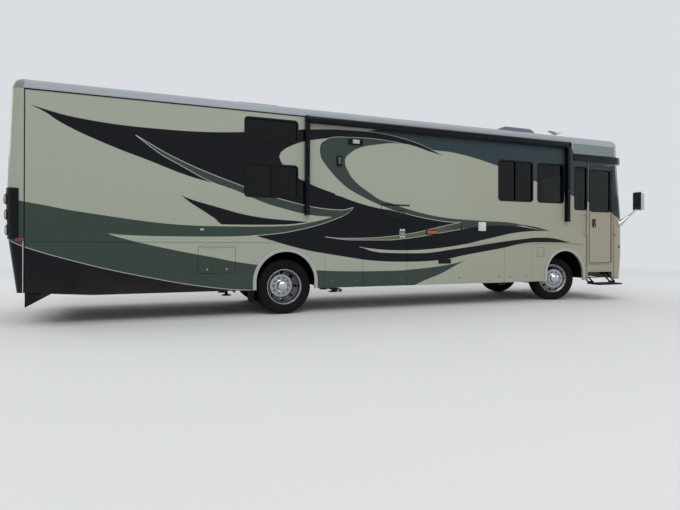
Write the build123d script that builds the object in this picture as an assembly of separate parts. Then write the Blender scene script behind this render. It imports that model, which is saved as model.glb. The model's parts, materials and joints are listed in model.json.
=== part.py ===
from build123d import *
import os
from math import cos, radians, sin

# A forward-control motorhome on a truck chassis, in millimetres.
# +X is forwards, +Y is to the left and +Z is up. The ground is z = 0, and x = 0 is halfway along.

# Driving sizes: the body is as long as its two overhangs and its wheelbase
body_width = 2565
roof_height = 3590
belt_height = 1250
skirt_height = 440
rear_overhang = 4130
wheelbase = 6170
front_overhang = 1900

half_width = body_width / 2
front_end = (rear_overhang + wheelbase + front_overhang) / 2
rear_end = -front_end
rear_axle_x = rear_end + rear_overhang
front_axle_x = front_end - front_overhang

# Body shell
wall = 50
skirt_wall = 30
cap_wall = 40
roof_wall = 60
roof_radius = 165
eaves_drop = 170
eaves_height = roof_height - eaves_drop
front_cap_length = 450
rear_cap_length = 280
front_seam = front_end - front_cap_length
rear_seam = rear_end + rear_cap_length
floor_wall = 60
floor_top = belt_height + floor_wall
fit = 0.3
door_gap = 6

# Front cap, from the bottom up: height, set-back from the front end, corner radius, bow of the end
front_stations = [
    (skirt_height, 50, 195, 130),
    (1000, 0, 200, 130),
    (1850, 15, 200, 130),
    (eaves_height - 370, 160, 180, 120),
    (eaves_height, 200, 176, 90),
]
# Rear cap, from the bottom up: height, set-back from the rear end, corner radius, bow of the end
rear_stations = [
    (500, 130, 85, 60),
    (belt_height, 20, 150, 60),
    (1900, 0, 150, 60),
    (eaves_height, 45, 176, 60),
]

# Wheels
tyre_radius = 472.5
tyre_width = 235
rim_radius = 300
bead_radius = 286
rim_width = 190
rim_wall = 8
disc_offset = 145
disc_wall = 12
disc_foot_radius = 204
hub_radius = 88
drum_radius = 200
drum_wall = 14
drum_length = 150
hand_hole_radius = 26
hand_hole_circle = 240
front_hand_holes = 10
rear_hand_holes = 8
front_track = 1900
rear_track = 1870
running_gap = 0.5
axle_height = tyre_radius

# Steering
kingpin_inset = 150
kingpin_radius = 25
kingpin_eye_radius = 46
kingpin_eye_height = 124
knuckle_lug = 46
knuckle_web = 35
spindle_radius = 34
hub_inner_reach = 40
hub_outer_reach = 60
steer_parked = -17.5
steering_arm = 180
steering_arm_width = 40
steering_arm_wall = 24
steering_pin_radius = 10
tie_rod_radius = 16
tie_rod_eye_radius = 24
tie_rod_eye_height = 28

# Chassis
rail_outer = 432
rail_flange = 75
rail_web = 8
rail_bottom = 640
rail_height = 210
rail_top = rail_bottom + rail_height
rail_rear = rear_end + 268
rail_front = front_end - 520

# Wheel arches, with the flare round each and the box behind it
arch_gap = 37.5
arch_radius = tyre_radius + arch_gap
arch_centre_height = axle_height + 97.5
front_arch_ahead = 30
flare_width = 58
flare_proud = 14
flare_edge = 6
housing_plate = 4
front_housing_half = arch_radius + 55
rear_housing_half = arch_radius + 35
housing_top = belt_height - 140
housing_foot = arch_centre_height - 10
housing_chamfer = 180
front_housing_inner = front_track / 2 - 462
rear_housing_inner = rear_track / 2 - 323

# Entry door, which fills the room between the front arch and the cap but for two posts
door_rear_post = 156
door_front_post = 44
door_rear = front_axle_x + front_arch_ahead + arch_radius + door_rear_post
door_front = front_seam - door_front_post
door_bottom = 780
door_top = eaves_height - 440
door_corner = 60
door_wall = 45
door_window_margin = 60
door_window_top = door_top - 110
door_window_bottom = door_top - 1010
door_window_corner = 60
latch_width = 110
latch_height = 190
latch_bottom = door_bottom + 820
latch_proud = 8
stair_count = 3
stair_going = 220
stair_plate = 8

# Hinges: a round bead on the door turns in a slotted rail on the wall
hinge_standoff = 8
hinge_bead = 4
hinge_rail = 7
hinge_clearance = 0.3
hinge_neck = 3

# Storage bays share the room between the arches by these widths, rear first
bay_widths_right = (730, 900, 592, 432, 1230, 706)
bay_widths_left = (1630, 1464, 1496)
fixed_panel_right = 3
bay_rear_margin = 196
bay_front_margin = 394
bay_plate = 12
bay_inner = 480
bay_door_wall = 32
bay_door_bottom = skirt_height
bay_door_top = belt_height - 2 * hinge_rail

# Entry step
step_opening_top = 610
step_side_room = 20
step_link_length = 300
step_parked_angle = 50
step_plate = 8
step_bar_width = 34
step_pin_radius = 8
step_pivot_height = 590
step_front_pivot = half_width - 132.5
step_rear_pivot = half_width - 262.5
step_tread_depth = 340
step_tread_wall = 30
step_tread_drop = 22
step_frame_depth = 275
step_frame_outer = half_width - 57.5


def block(x0, x1, y0, y1, z0, z1):
    """A block between two corners."""
    return Pos((x0 + x1) / 2, (y0 + y1) / 2, (z0 + z1) / 2) * Box(x1 - x0, y1 - y0, z1 - z0)


def side_prism(sketch, y0, y1):
    """A side-view sketch, x forwards and y up, made solid from y0 to y1."""
    return extrude(Plane(origin=(0, y1, 0), x_dir=(1, 0, 0), z_dir=(0, -1, 0)) * sketch, amount=y1 - y0)


def front_prism(sketch, x0, x1):
    """A front-view sketch, x to the left and y up, made solid from x0 to x1."""
    return extrude(Plane(origin=(x0, 0, 0), x_dir=(0, 1, 0), z_dir=(1, 0, 0)) * sketch, amount=x1 - x0)


def rounded(x0, x1, z0, z1, radius):
    """A rounded rectangle between two corners, as a sketch."""
    return Pos((x0 + x1) / 2, (z0 + z1) / 2) * RectangleRounded(x1 - x0, z1 - z0, radius)


def bar_x(x0, x1, y, z, radius):
    """A round bar along X."""
    return Pos((x0 + x1) / 2, y, z) * Rot(0, 90, 0) * Cylinder(radius, x1 - x0)


def bar_y(x, y0, y1, z, radius):
    """A round bar along Y."""
    return Pos(x, (y0 + y1) / 2, z) * Rot(90, 0, 0) * Cylinder(radius, abs(y1 - y0))


def bar_z(x, y, z0, z1, radius):
    """A round bar along Z."""
    return Pos(x, y, (z0 + z1) / 2) * Cylinder(radius, z1 - z0)


def rod(start, end, radius):
    """A round bar between two points."""
    a = Vector(*start)
    b = Vector(*end)
    return extrude(Plane(origin=a, z_dir=b - a) * Circle(radius), amount=(b - a).length)


def left_of(shape):
    """The same piece on the other side."""
    return mirror(shape, about=Plane.XZ)


def both(shape):
    """A piece and its like on the other side."""
    return [shape, left_of(shape)]


def rear_of(shape):
    """A form made facing forwards, turned to face the rear."""
    return mirror(shape, about=Plane.YZ)


def joined(pieces):
    """Pieces fused into one."""
    whole = pieces[0]
    for piece in pieces[1:]:
        whole = whole + piece
    return whole


# The shell's form


def bowed_face(z, seam, tip, side, corner, bow):
    """A level section: straight sides from a seam, a bowed end and rounded corners."""
    shoulder = tip - bow
    face = make_face(
        [
            Line((seam, -side), (shoulder, -side)),
            ThreePointArc((shoulder, -side), (tip, 0), (shoulder, side)),
            Line((shoulder, side), (seam, side)),
            Line((seam, side), (seam, -side)),
        ]
    )
    return Pos(0, 0, z) * fillet(face.vertices().sort_by(Axis.X)[-2:], corner)


def cap_form(stations, seam, inset=0):
    """A cap's solid form, facing forwards, with its surface moved in by inset."""
    over = 1 if inset > 0 else 0
    sections = [
        bowed_face(
            z - (over if n == 0 else 0),
            seam - over,
            front_end - back - inset,
            half_width - inset,
            corner - inset,
            bow,
        )
        for n, (z, back, corner, bow) in enumerate(stations)
    ]
    top = extrude(sections[-1], amount=roof_height - inset - stations[-1][0])
    rim = top.faces().sort_by(Axis.Z)[-1].edges().sort_by(Axis.X)[1:]
    return loft(sections, ruled=True) + fillet(rim, roof_radius - inset)


def front_form(inset=0):
    return cap_form(front_stations, front_seam, inset)


def rear_form(inset=0):
    return rear_of(cap_form(rear_stations, -rear_seam, inset))


def roof():
    """The roof between the caps, with rounded eaves."""
    rise = roof_height - eaves_height

    def profile(inset, thickness, below):
        z0 = eaves_height - below
        z1 = roof_height - thickness
        shape = Pos(0, (z0 + z1) / 2) * Rectangle(2 * (half_width - inset), z1 - z0)
        return fillet(shape.vertices().sort_by(Axis.Y)[-2:], roof_radius - thickness)

    outer = front_prism(profile(0, 0, 0), rear_seam, front_seam)
    return outer - front_prism(profile(wall, roof_wall, rise), rear_seam, front_seam)


# Windows: x of the rear edge from its axle, width, drop of the top below the eaves, height, corner, sashes
rear_windows = [
    (-720, 930, 860, 570, 70, 2),
    (-720, 930, 90, 400, 70, 1),
]
front_windows = [
    (-1747, 900, 475, 845, 80, 2),
    (-741, 736, 475, 845, 80, 1),
]
entry_window = (282, 380, 485, 965, 60, 1)
driver_window = (282, 900, 485, 965, 60, 2)
window_frame = 28
window_proud = 6
glass = 6


def window_table(side):
    """Every window of one side: x of the rear edge, width, bottom, height, corner, sashes."""
    last = entry_window if side == "right" else driver_window
    rows = [(rear_axle_x, row) for row in rear_windows]
    rows += [(front_axle_x, row) for row in front_windows + [last]]
    return [(axle + x, w, eaves_height - drop - h, h, r, n) for axle, (x, w, drop, h, r, n) in rows]


def window_sketch(row, inset):
    """One window's outline, moved in by inset."""
    x, w, z, h, r, _ = row
    return rounded(x + inset, x + w - inset, z + inset, z + h - inset, r - inset)


def sash_sketches(row, inset):
    """The opening of each sash beside its upright bars, moved in by inset."""
    x, w, z, h, _, sashes = row
    opening = window_sketch(row, window_frame + inset)
    pitch = w / sashes
    openings = []
    for n in range(sashes):
        start = x + pitch * n + window_frame / 2 + inset
        end = x + pitch * (n + 1) - window_frame / 2 - inset
        openings.append(opening & (Pos((start + end) / 2, z + h / 2) * Rectangle(end - start, h)))
    return openings


def door_sketch(grow):
    """The entry door's outline, larger all round by grow."""
    return rounded(
        door_rear - grow, door_front + grow, door_bottom - grow, door_top + grow, door_corner + grow
    )


def side_wall(side):
    """A side wall above the belt, made for the right."""
    panel = block(rear_seam, front_seam, -half_width, wall - half_width, belt_height, eaves_height)
    for row in window_table(side):
        panel -= side_prism(window_sketch(row, 0), -half_width - 1, wall - half_width + 1)
    if side == "right":
        panel -= side_prism(door_sketch(door_gap), -half_width - 1, wall - half_width + 1)
        return panel
    return left_of(panel)


def windows():
    """The frames and the panes of every side window."""
    frames = []
    panes = []
    for side in ("right", "left"):
        for row in window_table(side):
            y0 = -half_width - window_proud
            y1 = wall - half_width
            frame = side_prism(window_sketch(row, fit), y0, y1)
            for opening in sash_sketches(row, 0):
                frame -= side_prism(opening, y0, y1)
            frames.append(frame if side == "right" else left_of(frame))
            pane_y = -half_width + wall / 2
            for opening in sash_sketches(row, fit):
                pane = side_prism(opening, pane_y - glass / 2, pane_y + glass / 2)
                panes.append(pane if side == "right" else left_of(pane))
    return frames, panes


# The lower body

access_rear = rear_axle_x - 1446
access_front = rear_axle_x - 858
access_bottom = 735
access_top = belt_height - 80
access_corner = 50
fuel_door_x = front_axle_x - 740
fuel_door_size = 190
fuel_door_bottom = belt_height - 100 - fuel_door_size
fuel_door_corner = 20
tail_rise_length = 900
tail_skirt_height = 500


def arch_sketch(x, grow):
    """A wheel arch open at its foot, with its outline moved out by grow."""
    radius = arch_radius + grow
    foot = Pos(x, arch_centre_height / 2) * Rectangle(2 * radius, arch_centre_height)
    return foot + Pos(x, arch_centre_height) * Circle(radius)


def bay_seams(side):
    """x of every seam of one side's bays, rear first."""
    widths = bay_widths_left if side == "left" else bay_widths_right
    start = rear_axle_x + arch_radius + bay_rear_margin
    room = front_axle_x + front_arch_ahead - arch_radius - bay_front_margin - start
    return [start + room * sum(widths[:n]) / sum(widths) for n in range(len(widths) + 1)]


def bay_rows(side):
    """The bays of one side: x of the rear seam, x of the front seam."""
    seams = bay_seams(side)
    rows = list(zip(seams[:-1], seams[1:]))
    if side == "right":
        rows.pop(fixed_panel_right)
    return rows


def arch_flare(x):
    """The raised flare round an arch, down to the skirt."""
    outer = side_prism(arch_sketch(x, flare_width), -half_width - flare_proud, -half_width + 1)
    outer = chamfer(outer.faces().sort_by(Axis.Y)[0].edges(), flare_edge)
    ring = outer - side_prism(arch_sketch(x, 0), -half_width - flare_proud - 1, -half_width + 2)
    reach = arch_radius + flare_width + 1
    return ring - block(x - reach, x + reach, -half_width - flare_proud - 1, -half_width + 2, -1, skirt_height)


def lower_wall(side):
    """The fixed lower panels of one side, made for the right."""
    y0 = -half_width
    y1 = skirt_wall - half_width
    panel = block(rear_seam, front_seam, y0, y1, skirt_height, belt_height)
    for x in (rear_axle_x, front_axle_x + front_arch_ahead):
        panel = panel - side_prism(arch_sketch(x, 0), y0 - 1, y1 + 1) + arch_flare(x)
    rise = make_face(
        Polyline(
            (rear_seam - 1, skirt_height - 1),
            (rear_seam + tail_rise_length, skirt_height - 1),
            (rear_seam - 1, tail_skirt_height),
            close=True,
        )
    )
    panel -= side_prism(rise, y0 - 1, y1 + 1)
    for a, b in bay_rows(side):
        panel -= block(a, b, y0 - 1, y1 + 1, skirt_height - 1, belt_height + 1)
    if side == "right":
        panel -= side_prism(access_sketch(door_gap), y0 - 1, y1 + 1)
        panel -= side_prism(door_sketch(door_gap), y0 - 1, y1 + 1)
        panel -= side_prism(fuel_door_sketch(door_gap), y0 - 1, y1 + 1)
        panel -= block(door_rear - 8, door_front + 8, y0 - 1, y1 + 1, skirt_height - 1, step_opening_top)
        return panel
    return left_of(panel)


def access_sketch(grow):
    """The rear access door's outline, larger all round by grow."""
    return rounded(
        access_rear - grow, access_front + grow, access_bottom - grow, access_top + grow, access_corner + grow
    )


def fuel_door_sketch(grow):
    """The fuel door's outline, larger all round by grow."""
    return rounded(
        fuel_door_x - grow,
        fuel_door_x + fuel_door_size + grow,
        fuel_door_bottom - grow,
        fuel_door_bottom + fuel_door_size + grow,
        fuel_door_corner + grow,
    )


def storage_bays(side):
    """The open bays behind the storage doors, made for the right."""
    y0 = -half_width + skirt_wall + door_gap
    y1 = -bay_inner
    seams = bay_seams(side)
    x0 = seams[0]
    x1 = seams[-1]
    pieces = [
        block(x0, x1, y0, y1, skirt_height, skirt_height + bay_plate),
        block(x0, x1, y1 - bay_plate, y1, skirt_height, belt_height),
    ]
    for x in seams:
        middle = min(max(x, x0 + bay_plate / 2), x1 - bay_plate / 2)
        pieces.append(block(middle - bay_plate / 2, middle + bay_plate / 2, y0, y1, skirt_height, belt_height))
    bays = joined(pieces)
    return bays if side == "right" else left_of(bays)


def hinge_plane(origin, to_fixed, along):
    """A hinge's section plane: x from the door towards the wall, y outwards."""
    return Plane(origin=origin, x_dir=to_fixed, z_dir=along)


def hinge_fixed(plane, length, depth=hinge_standoff):
    """The slotted rail that the wall carries, with a foot that reaches depth inwards."""
    ring = Circle(hinge_rail) - Circle(hinge_bead + hinge_clearance)
    margin = hinge_neck / 2 + 0.7
    slot = Pos(margin - hinge_rail, hinge_rail - margin) * Rectangle(2 * hinge_rail, 2 * hinge_rail)
    foot_length = 3 * hinge_rail
    foot = Pos(3 + foot_length / 2, -4 - (depth - 4) / 2) * Rectangle(foot_length, depth - 4)
    return extrude(plane * ((ring - slot) + foot), amount=length)


def hinge_moving(plane, length, depth=hinge_standoff):
    """The bead on its neck, which the door carries, with a foot that reaches depth inwards."""
    reach = 2 * hinge_rail
    neck = Pos(-reach / 2, 0) * Rectangle(reach, hinge_neck)
    foot_height = depth + hinge_neck / 2
    foot = Pos(-reach - 1, hinge_neck / 2 - foot_height / 2) * Rectangle(8, foot_height)
    return extrude(plane * (Circle(hinge_bead) + neck + foot), amount=length)


def top_hinge(x0, z):
    """The plane of a level hinge on the right side, with the wall above it."""
    return hinge_plane((x0, -half_width - hinge_standoff, z), (0, 0, 1), (1, 0, 0))


def front_edge_hinge(x, z1):
    """The plane of an upright hinge on the right side, with the wall ahead of it."""
    return hinge_plane((x, -half_width - hinge_standoff, z1), (1, 0, 0), (0, 0, -1))


bay_hinge_z = belt_height - hinge_rail
hinge_end = 12


def bay_door(a, b, side):
    """One storage door between two seams, hung at its top edge."""
    y0 = -half_width
    x0 = a + door_gap / 2
    x1 = b - door_gap / 2
    door = block(x0, x1, y0, y0 + bay_door_wall, bay_door_bottom, bay_door_top)
    door = door + hinge_moving(top_hinge(x0 + hinge_end, bay_hinge_z), x1 - x0 - 2 * hinge_end)
    return door if side == "right" else left_of(door)


def access_door():
    """The small door behind the rear wheels, hung at its top edge."""
    panel = side_prism(access_sketch(0), -half_width, skirt_wall - half_width)
    x0 = access_rear + access_corner
    z = access_top + door_gap / 2
    return panel + hinge_moving(top_hinge(x0, z), access_front - access_corner - x0)


def fuel_door():
    """The fuel filler's flap, hung at its front edge."""
    panel = side_prism(fuel_door_sketch(0), -half_width, skirt_wall - half_width)
    x = fuel_door_x + fuel_door_size + door_gap / 2
    top = fuel_door_bottom + fuel_door_size - fuel_door_corner
    plane = front_edge_hinge(x, top)
    return panel + hinge_moving(plane, fuel_door_size - 2 * fuel_door_corner)


def entry_door():
    """The entry door with its window cut, hung at its front edge."""
    panel = side_prism(door_sketch(0), -half_width, door_wall - half_width)
    panel -= side_prism(door_window_sketch(0), -half_width - 1, door_wall - half_width + 1)
    x = door_front + door_gap / 2
    plane = front_edge_hinge(x, door_top - door_corner)
    panel = panel + hinge_moving(plane, door_top - door_bottom - 2 * door_corner)
    latch_x = door_rear + latch_width
    latch = side_prism(
        rounded(latch_x, latch_x + latch_width, latch_bottom, latch_bottom + latch_height, 20),
        -half_width - latch_proud,
        -half_width,
    )
    return panel + latch


def door_window_sketch(inset):
    """The entry door's window outline, moved in by inset."""
    return rounded(
        door_rear + door_window_margin + inset,
        door_front - door_window_margin - inset,
        door_window_bottom + inset,
        door_window_top - inset,
        door_window_corner - inset,
    )


def entry_door_glass():
    """The pane in the entry door."""
    middle = -half_width + door_wall / 2
    return side_prism(door_window_sketch(fit), middle - glass / 2, middle + glass / 2)


def hinge_rails():
    """Every fixed hinge rail: along the belt over the bays, over the access door and beside the flaps."""
    rails = []
    for side in ("right", "left"):
        for a, b in bay_rows(side):
            rail = hinge_fixed(top_hinge(a, bay_hinge_z), b - a)
            rails.append(rail if side == "right" else left_of(rail))
    x0 = access_rear + access_corner
    access = hinge_fixed(top_hinge(x0, access_top + door_gap / 2), access_front - access_corner - x0)
    fuel_x = fuel_door_x + fuel_door_size + door_gap / 2
    fuel_top = fuel_door_bottom + fuel_door_size - fuel_door_corner
    fuel = hinge_fixed(front_edge_hinge(fuel_x, fuel_top), fuel_door_size - 2 * fuel_door_corner)
    entry_plane = front_edge_hinge(door_front + door_gap / 2, door_top - door_corner)
    entry = hinge_fixed(entry_plane, door_top - door_bottom - 2 * door_corner)
    hood_rails = [
        hinge_fixed(hood_hinge(y), hood_hinge_length, hood_hinge_depth) - front_form() for y in hood_hinge_starts
    ]
    return rails + [access, fuel, entry] + hood_rails


def wheel_housing(x, half, inner):
    """The box behind an arch that keeps the wheel's spray out of the body, made for the right."""
    y0 = -half_width + skirt_wall
    y1 = -inner
    foot = skirt_height + 40

    def outline(grow):
        h = half + grow
        top = housing_top + grow
        return make_face(
            Polyline(
                (x - h, foot),
                (x - h, top - housing_chamfer),
                (x - h + housing_chamfer, top),
                (x + h - housing_chamfer, top),
                (x + h, top - housing_chamfer),
                (x + h, foot),
                close=True,
            )
        )

    shell = side_prism(outline(housing_plate), y0, y1 + housing_plate) - side_prism(outline(0), y0 - 1, y1)
    return shell - block(x - half, x + half, y0 - 1, y1 + housing_plate + 1, skirt_height, housing_foot)


# Front and rear details

windshield_bottom = 1830
windshield_top = eaves_height - 390
windshield_half = half_width - 152.5
windshield_corner = 120
windshield_glass = 8
brow_bottom = eaves_height - 370
brow_height = 140
brow_back = 50
brow_corner = 200
brow_bow = 130
brow_proud = 12
brow_rear = front_axle_x + 250
lamp_bottom = 790
lamp_top = 1010
lamp_inner = 640
lamp_outer = half_width - 152.5
lamp_corner = 50
grille_half = 520
grille_bottom = 560
grille_top = 740
grille_corner = 30
grille_rim = 16
slat_count = 5
slat_height = 14
hood_half = 600
hood_bottom = 1090
hood_top = 1720
hood_wall = 30
hood_corner = 40
lens_wall = 30


def front_opening(y0, y1, z0, z1, radius):
    """A prism along X that cuts the front cap."""
    return front_prism(rounded(y0, y1, z0, z1, radius), front_seam, front_end + 200)


def front_cap():
    """The moulded front cap with its openings."""
    cap = front_form() - front_form(cap_wall)
    cap -= front_opening(-windshield_half, windshield_half, windshield_bottom, windshield_top, windshield_corner)
    cap -= front_opening(lamp_inner, lamp_outer, lamp_bottom, lamp_top, lamp_corner)
    cap -= front_opening(-lamp_outer, -lamp_inner, lamp_bottom, lamp_top, lamp_corner)
    cap -= front_opening(-grille_half, grille_half, grille_bottom, grille_top, grille_corner)
    half = hood_half + door_gap
    cap -= front_opening(-half, half, hood_bottom - door_gap, hood_top + door_gap, hood_corner + door_gap)
    return cap


def windshield():
    """The bowed windshield, set just behind the cap's surface."""
    pane = front_form(fit) - front_form(fit + windshield_glass)
    return pane & front_opening(
        fit - windshield_half,
        windshield_half - fit,
        windshield_bottom + fit,
        windshield_top - fit,
        windshield_corner - fit,
    )


def headlamps():
    """The two headlamps, in the cap's own surface."""
    skin = front_form() - front_form(lens_wall)
    lens = skin & front_opening(
        lamp_inner + fit, lamp_outer - fit, lamp_bottom + fit, lamp_top - fit, lamp_corner - fit
    )
    return both(lens)


def grille():
    """The grille: a frame with level slats."""
    skin = front_form() - front_form(lens_wall)
    outer = skin & front_opening(
        fit - grille_half, grille_half - fit, grille_bottom + fit, grille_top - fit, grille_corner - fit
    )
    half = grille_half - grille_rim
    inner = front_opening(
        -half, half, grille_bottom + grille_rim, grille_top - grille_rim, grille_corner - grille_rim
    )
    frame = outer - inner
    pitch = (grille_top - grille_bottom) / (slat_count + 1)
    slats = [
        outer
        & block(
            front_seam,
            front_end + 200,
            -grille_half,
            grille_half,
            grille_bottom + pitch * (n + 1) - slat_height / 2,
            grille_bottom + pitch * (n + 1) + slat_height / 2,
        )
        for n in range(slat_count)
    ]
    return joined([frame] + slats)


hood_hinge_length = 90
hood_hinge_starts = (-250, 250 - hood_hinge_length)
hood_hinge_depth = 30


def front_setback(z):
    """How far the front cap's middle lies behind the front end at a height."""
    for low, high in zip(front_stations[:-1], front_stations[1:]):
        if low[0] <= z <= high[0]:
            return low[1] + (high[1] - low[1]) * (z - low[0]) / (high[0] - low[0])
    return front_stations[-1][1]


def hood_hinge(y):
    """The plane of a hood hinge that starts at y, with the cap above it."""
    x = front_end - front_setback(hood_top) + hinge_standoff
    return hinge_plane((x, y, hood_top + door_gap / 2), (0, 0, 1), (0, 1, 0))


def hood():
    """The lifting service panel below the windshield, with its two hinges."""
    skin = front_form() - front_form(hood_wall)
    panel = skin & front_opening(-hood_half, hood_half, hood_bottom, hood_top, hood_corner)
    for y in hood_hinge_starts:
        hinge = hinge_moving(hood_hinge(y), hood_hinge_length, hood_hinge_depth) - front_form()
        panel = panel + hinge
    return panel


def brow():
    """The ledge over the windshield and along the eaves of the cab."""
    rows = [(brow_bottom, brow_back), (brow_bottom + brow_height, brow_back + 10)]
    ledge = loft(
        [
            bowed_face(z, brow_rear, front_end - back, half_width + brow_proud, brow_corner, brow_bow)
            for z, back in rows
        ]
    )
    cabin = block(rear_seam, front_seam, -half_width, half_width, belt_height, roof_height)
    return ledge - cabin - front_form()


def rear_cap():
    """The moulded rear cap."""
    return rear_form() - rear_form(cap_wall)


tail_housing_bottom = 1270
tail_housing_top = 2000
tail_housing_inner = half_width - 272.5
tail_housing_proud = 12
tail_lamp_heights = (1400, 1620, 1840)
tail_lamp_radius = 75
tail_lamp_proud = 20
tail_lamp_y = half_width - 135
tail_lamp_turn = 30
tail_lamp_x = rear_end + 60
tail_housing_corner = 60
tail_housing_front = rear_seam - 60


def tail_lamps():
    """The corner housings, with three round lamps set in each."""
    view = rounded(
        -half_width - 40, -tail_housing_inner, tail_housing_bottom, tail_housing_top, tail_housing_corner
    )
    corner = front_prism(view, rear_end - 100, tail_housing_front)
    housing = (rear_form(-tail_housing_proud) - rear_form()) & corner
    bulge = (rear_form(-tail_lamp_proud) - rear_form()) & corner
    lamps = []
    for z in tail_lamp_heights:
        place = Pos(tail_lamp_x, -tail_lamp_y, z) * Rot(0, 0, tail_lamp_turn) * Rot(0, 90, 0)
        housing = housing - place * Cylinder(tail_lamp_radius + fit, 400)
        lamps.append(bulge & place * Cylinder(tail_lamp_radius, 400))
    return [piece for lamp in [housing] + lamps for piece in both(lamp)]


# Running gear


def tyre():
    """A tyre about the Y axis."""
    half = tyre_width / 2
    bead_half = rim_width / 2 - 12
    tread = tyre_radius
    points = [
        (bead_radius + fit, bead_half),
        (rim_radius + 4, bead_half),
        (rim_radius + 40, half),
        (tread - 60, half),
        (tread - 8, half - 22),
        (tread, half - 44),
    ]
    mirrored = [(r, -y) for r, y in reversed(points)]
    return revolve(make_face(Polyline(*points, *mirrored, close=True)), Axis.Y)


def wheel_disc(holes):
    """A rim and its disc about the Y axis, the disc set out towards -Y."""
    half = rim_width / 2
    face = -disc_offset
    inside = bead_radius - rim_wall
    section = make_face(
        Polyline(
            (rim_radius, -half - 2),
            (rim_radius, -half + 6),
            (bead_radius, -half + 10),
            (bead_radius, half - 10),
            (rim_radius, half - 6),
            (rim_radius, half + 2),
            (rim_radius - rim_wall, half + 2),
            (inside, half - 14),
            (inside, -half + 45),
            (disc_foot_radius - 4, face + disc_wall),
            (hub_radius - 1, face + disc_wall),
            (hub_radius - 1, face),
            (disc_foot_radius, face),
            (inside - 4, -half + 14),
            (rim_radius - rim_wall, -half - 2),
            close=True,
        )
    )
    wheel = revolve(section, Axis.Y)
    for n in range(holes):
        wheel -= Rot(0, 360 / holes * n, 0) * bar_y(hand_hole_circle, face - 20, -30, 0, hand_hole_radius)
    return wheel


def hub(outer, inner, bore):
    """A hub about the Y axis, closed at its outer end, from outer to inner along Y."""
    body = make_face(
        Polyline(
            (0, outer),
            (hub_radius - 18, outer),
            (hub_radius, outer + 18),
            (hub_radius, inner),
            (bore, inner),
            (bore, outer + 25),
            (0, outer + 25),
            close=True,
        )
    )
    return revolve(body, Axis.Y)


def brake_drum(face):
    """A brake drum about the Y axis, closed against the disc at face and open towards +Y."""
    back = face + drum_wall
    section = make_face(
        Polyline(
            (hub_radius - 1, face),
            (drum_radius, face),
            (drum_radius, face + drum_length),
            (drum_radius - drum_wall, face + drum_length),
            (drum_radius - drum_wall, back),
            (hub_radius - 1, back),
            close=True,
        )
    )
    return revolve(section, Axis.Y)


def flipped(shape):
    """A wheel with its disc towards the other side."""
    return mirror(shape, about=Plane.XZ)


kingpin_y = front_track / 2 - kingpin_inset


def steered(shape):
    """A piece made straight ahead about the right kingpin, put in place as parked."""
    return Pos(front_axle_x, -kingpin_y, axle_height) * Rot(0, 0, steer_parked) * shape


def steered_left(shape):
    """The same for the left kingpin, with the piece mirrored first."""
    return Pos(front_axle_x, kingpin_y, axle_height) * Rot(0, 0, steer_parked) * left_of(shape)


def front_wheel():
    """A front rim with its hub, and its tyre, about the right kingpin."""
    outer = -disc_offset - hub_outer_reach
    bore = spindle_radius + running_gap
    rim = wheel_disc(front_hand_holes) + hub(outer, hub_inner_reach, bore) + brake_drum(disc_wall - disc_offset)
    place = Pos(0, -kingpin_inset, 0)
    return place * rim, place * tyre()


def knuckle():
    """The right knuckle about its kingpin: two lugs, a web, the spindle and the steering arm."""
    lug_bottom = kingpin_eye_height / 2 + 3
    lug_top = lug_bottom + knuckle_lug
    web_inner = kingpin_eye_radius + 14
    web_outer = web_inner + knuckle_web
    half = kingpin_eye_radius - 1
    body = block(-half, half, -web_outer, -web_inner, -lug_top, lug_top)
    for z0, z1 in ((lug_bottom, lug_top), (-lug_top, -lug_bottom)):
        body = body + block(-half, half, -web_inner - 1, 0, z0, z1) + bar_z(0, 0, z0, z1, half)
    body = body - bar_z(0, 0, -lug_top - 1, lug_top + 1, kingpin_radius + running_gap)
    spindle_end = -kingpin_inset - disc_offset - hub_outer_reach + 30
    body = body + bar_y(0, spindle_end, -web_outer, 0, spindle_radius)
    arm_top = -lug_top + steering_arm_wall
    arm = block(-steering_arm, -half + 5, -steering_arm_width / 2, steering_arm_width / 2, -lug_top, arm_top)
    arm = arm + bar_z(-steering_arm, 0, -lug_top, arm_top, steering_arm_width / 2)
    pin_bottom = -lug_top - tie_rod_eye_height - 10
    return body + arm + bar_z(-steering_arm, 0, pin_bottom, -lug_top, steering_pin_radius)


def tie_rod():
    """The tie rod between the two steering arms."""
    turn = radians(steer_parked)
    x = front_axle_x - steering_arm * cos(turn)
    shift = -steering_arm * sin(turn)
    z1 = axle_height - kingpin_eye_height / 2 - 3 - knuckle_lug - 4
    z0 = z1 - tie_rod_eye_height
    bar = bar_y(x, shift - kingpin_y, shift + kingpin_y, (z0 + z1) / 2, tie_rod_radius)
    eyes = [bar_z(x, shift + y, z0, z1, tie_rod_eye_radius) for y in (-kingpin_y, kingpin_y)]
    bores = [
        bar_z(x, shift + y, z0 - 5, z1 + 5, steering_pin_radius + running_gap) for y in (-kingpin_y, kingpin_y)
    ]
    return joined([bar] + eyes) - bores[0] - bores[1]


front_beam_top = axle_height + 38
front_beam_bottom = axle_height - 42
front_beam_half = 45


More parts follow.
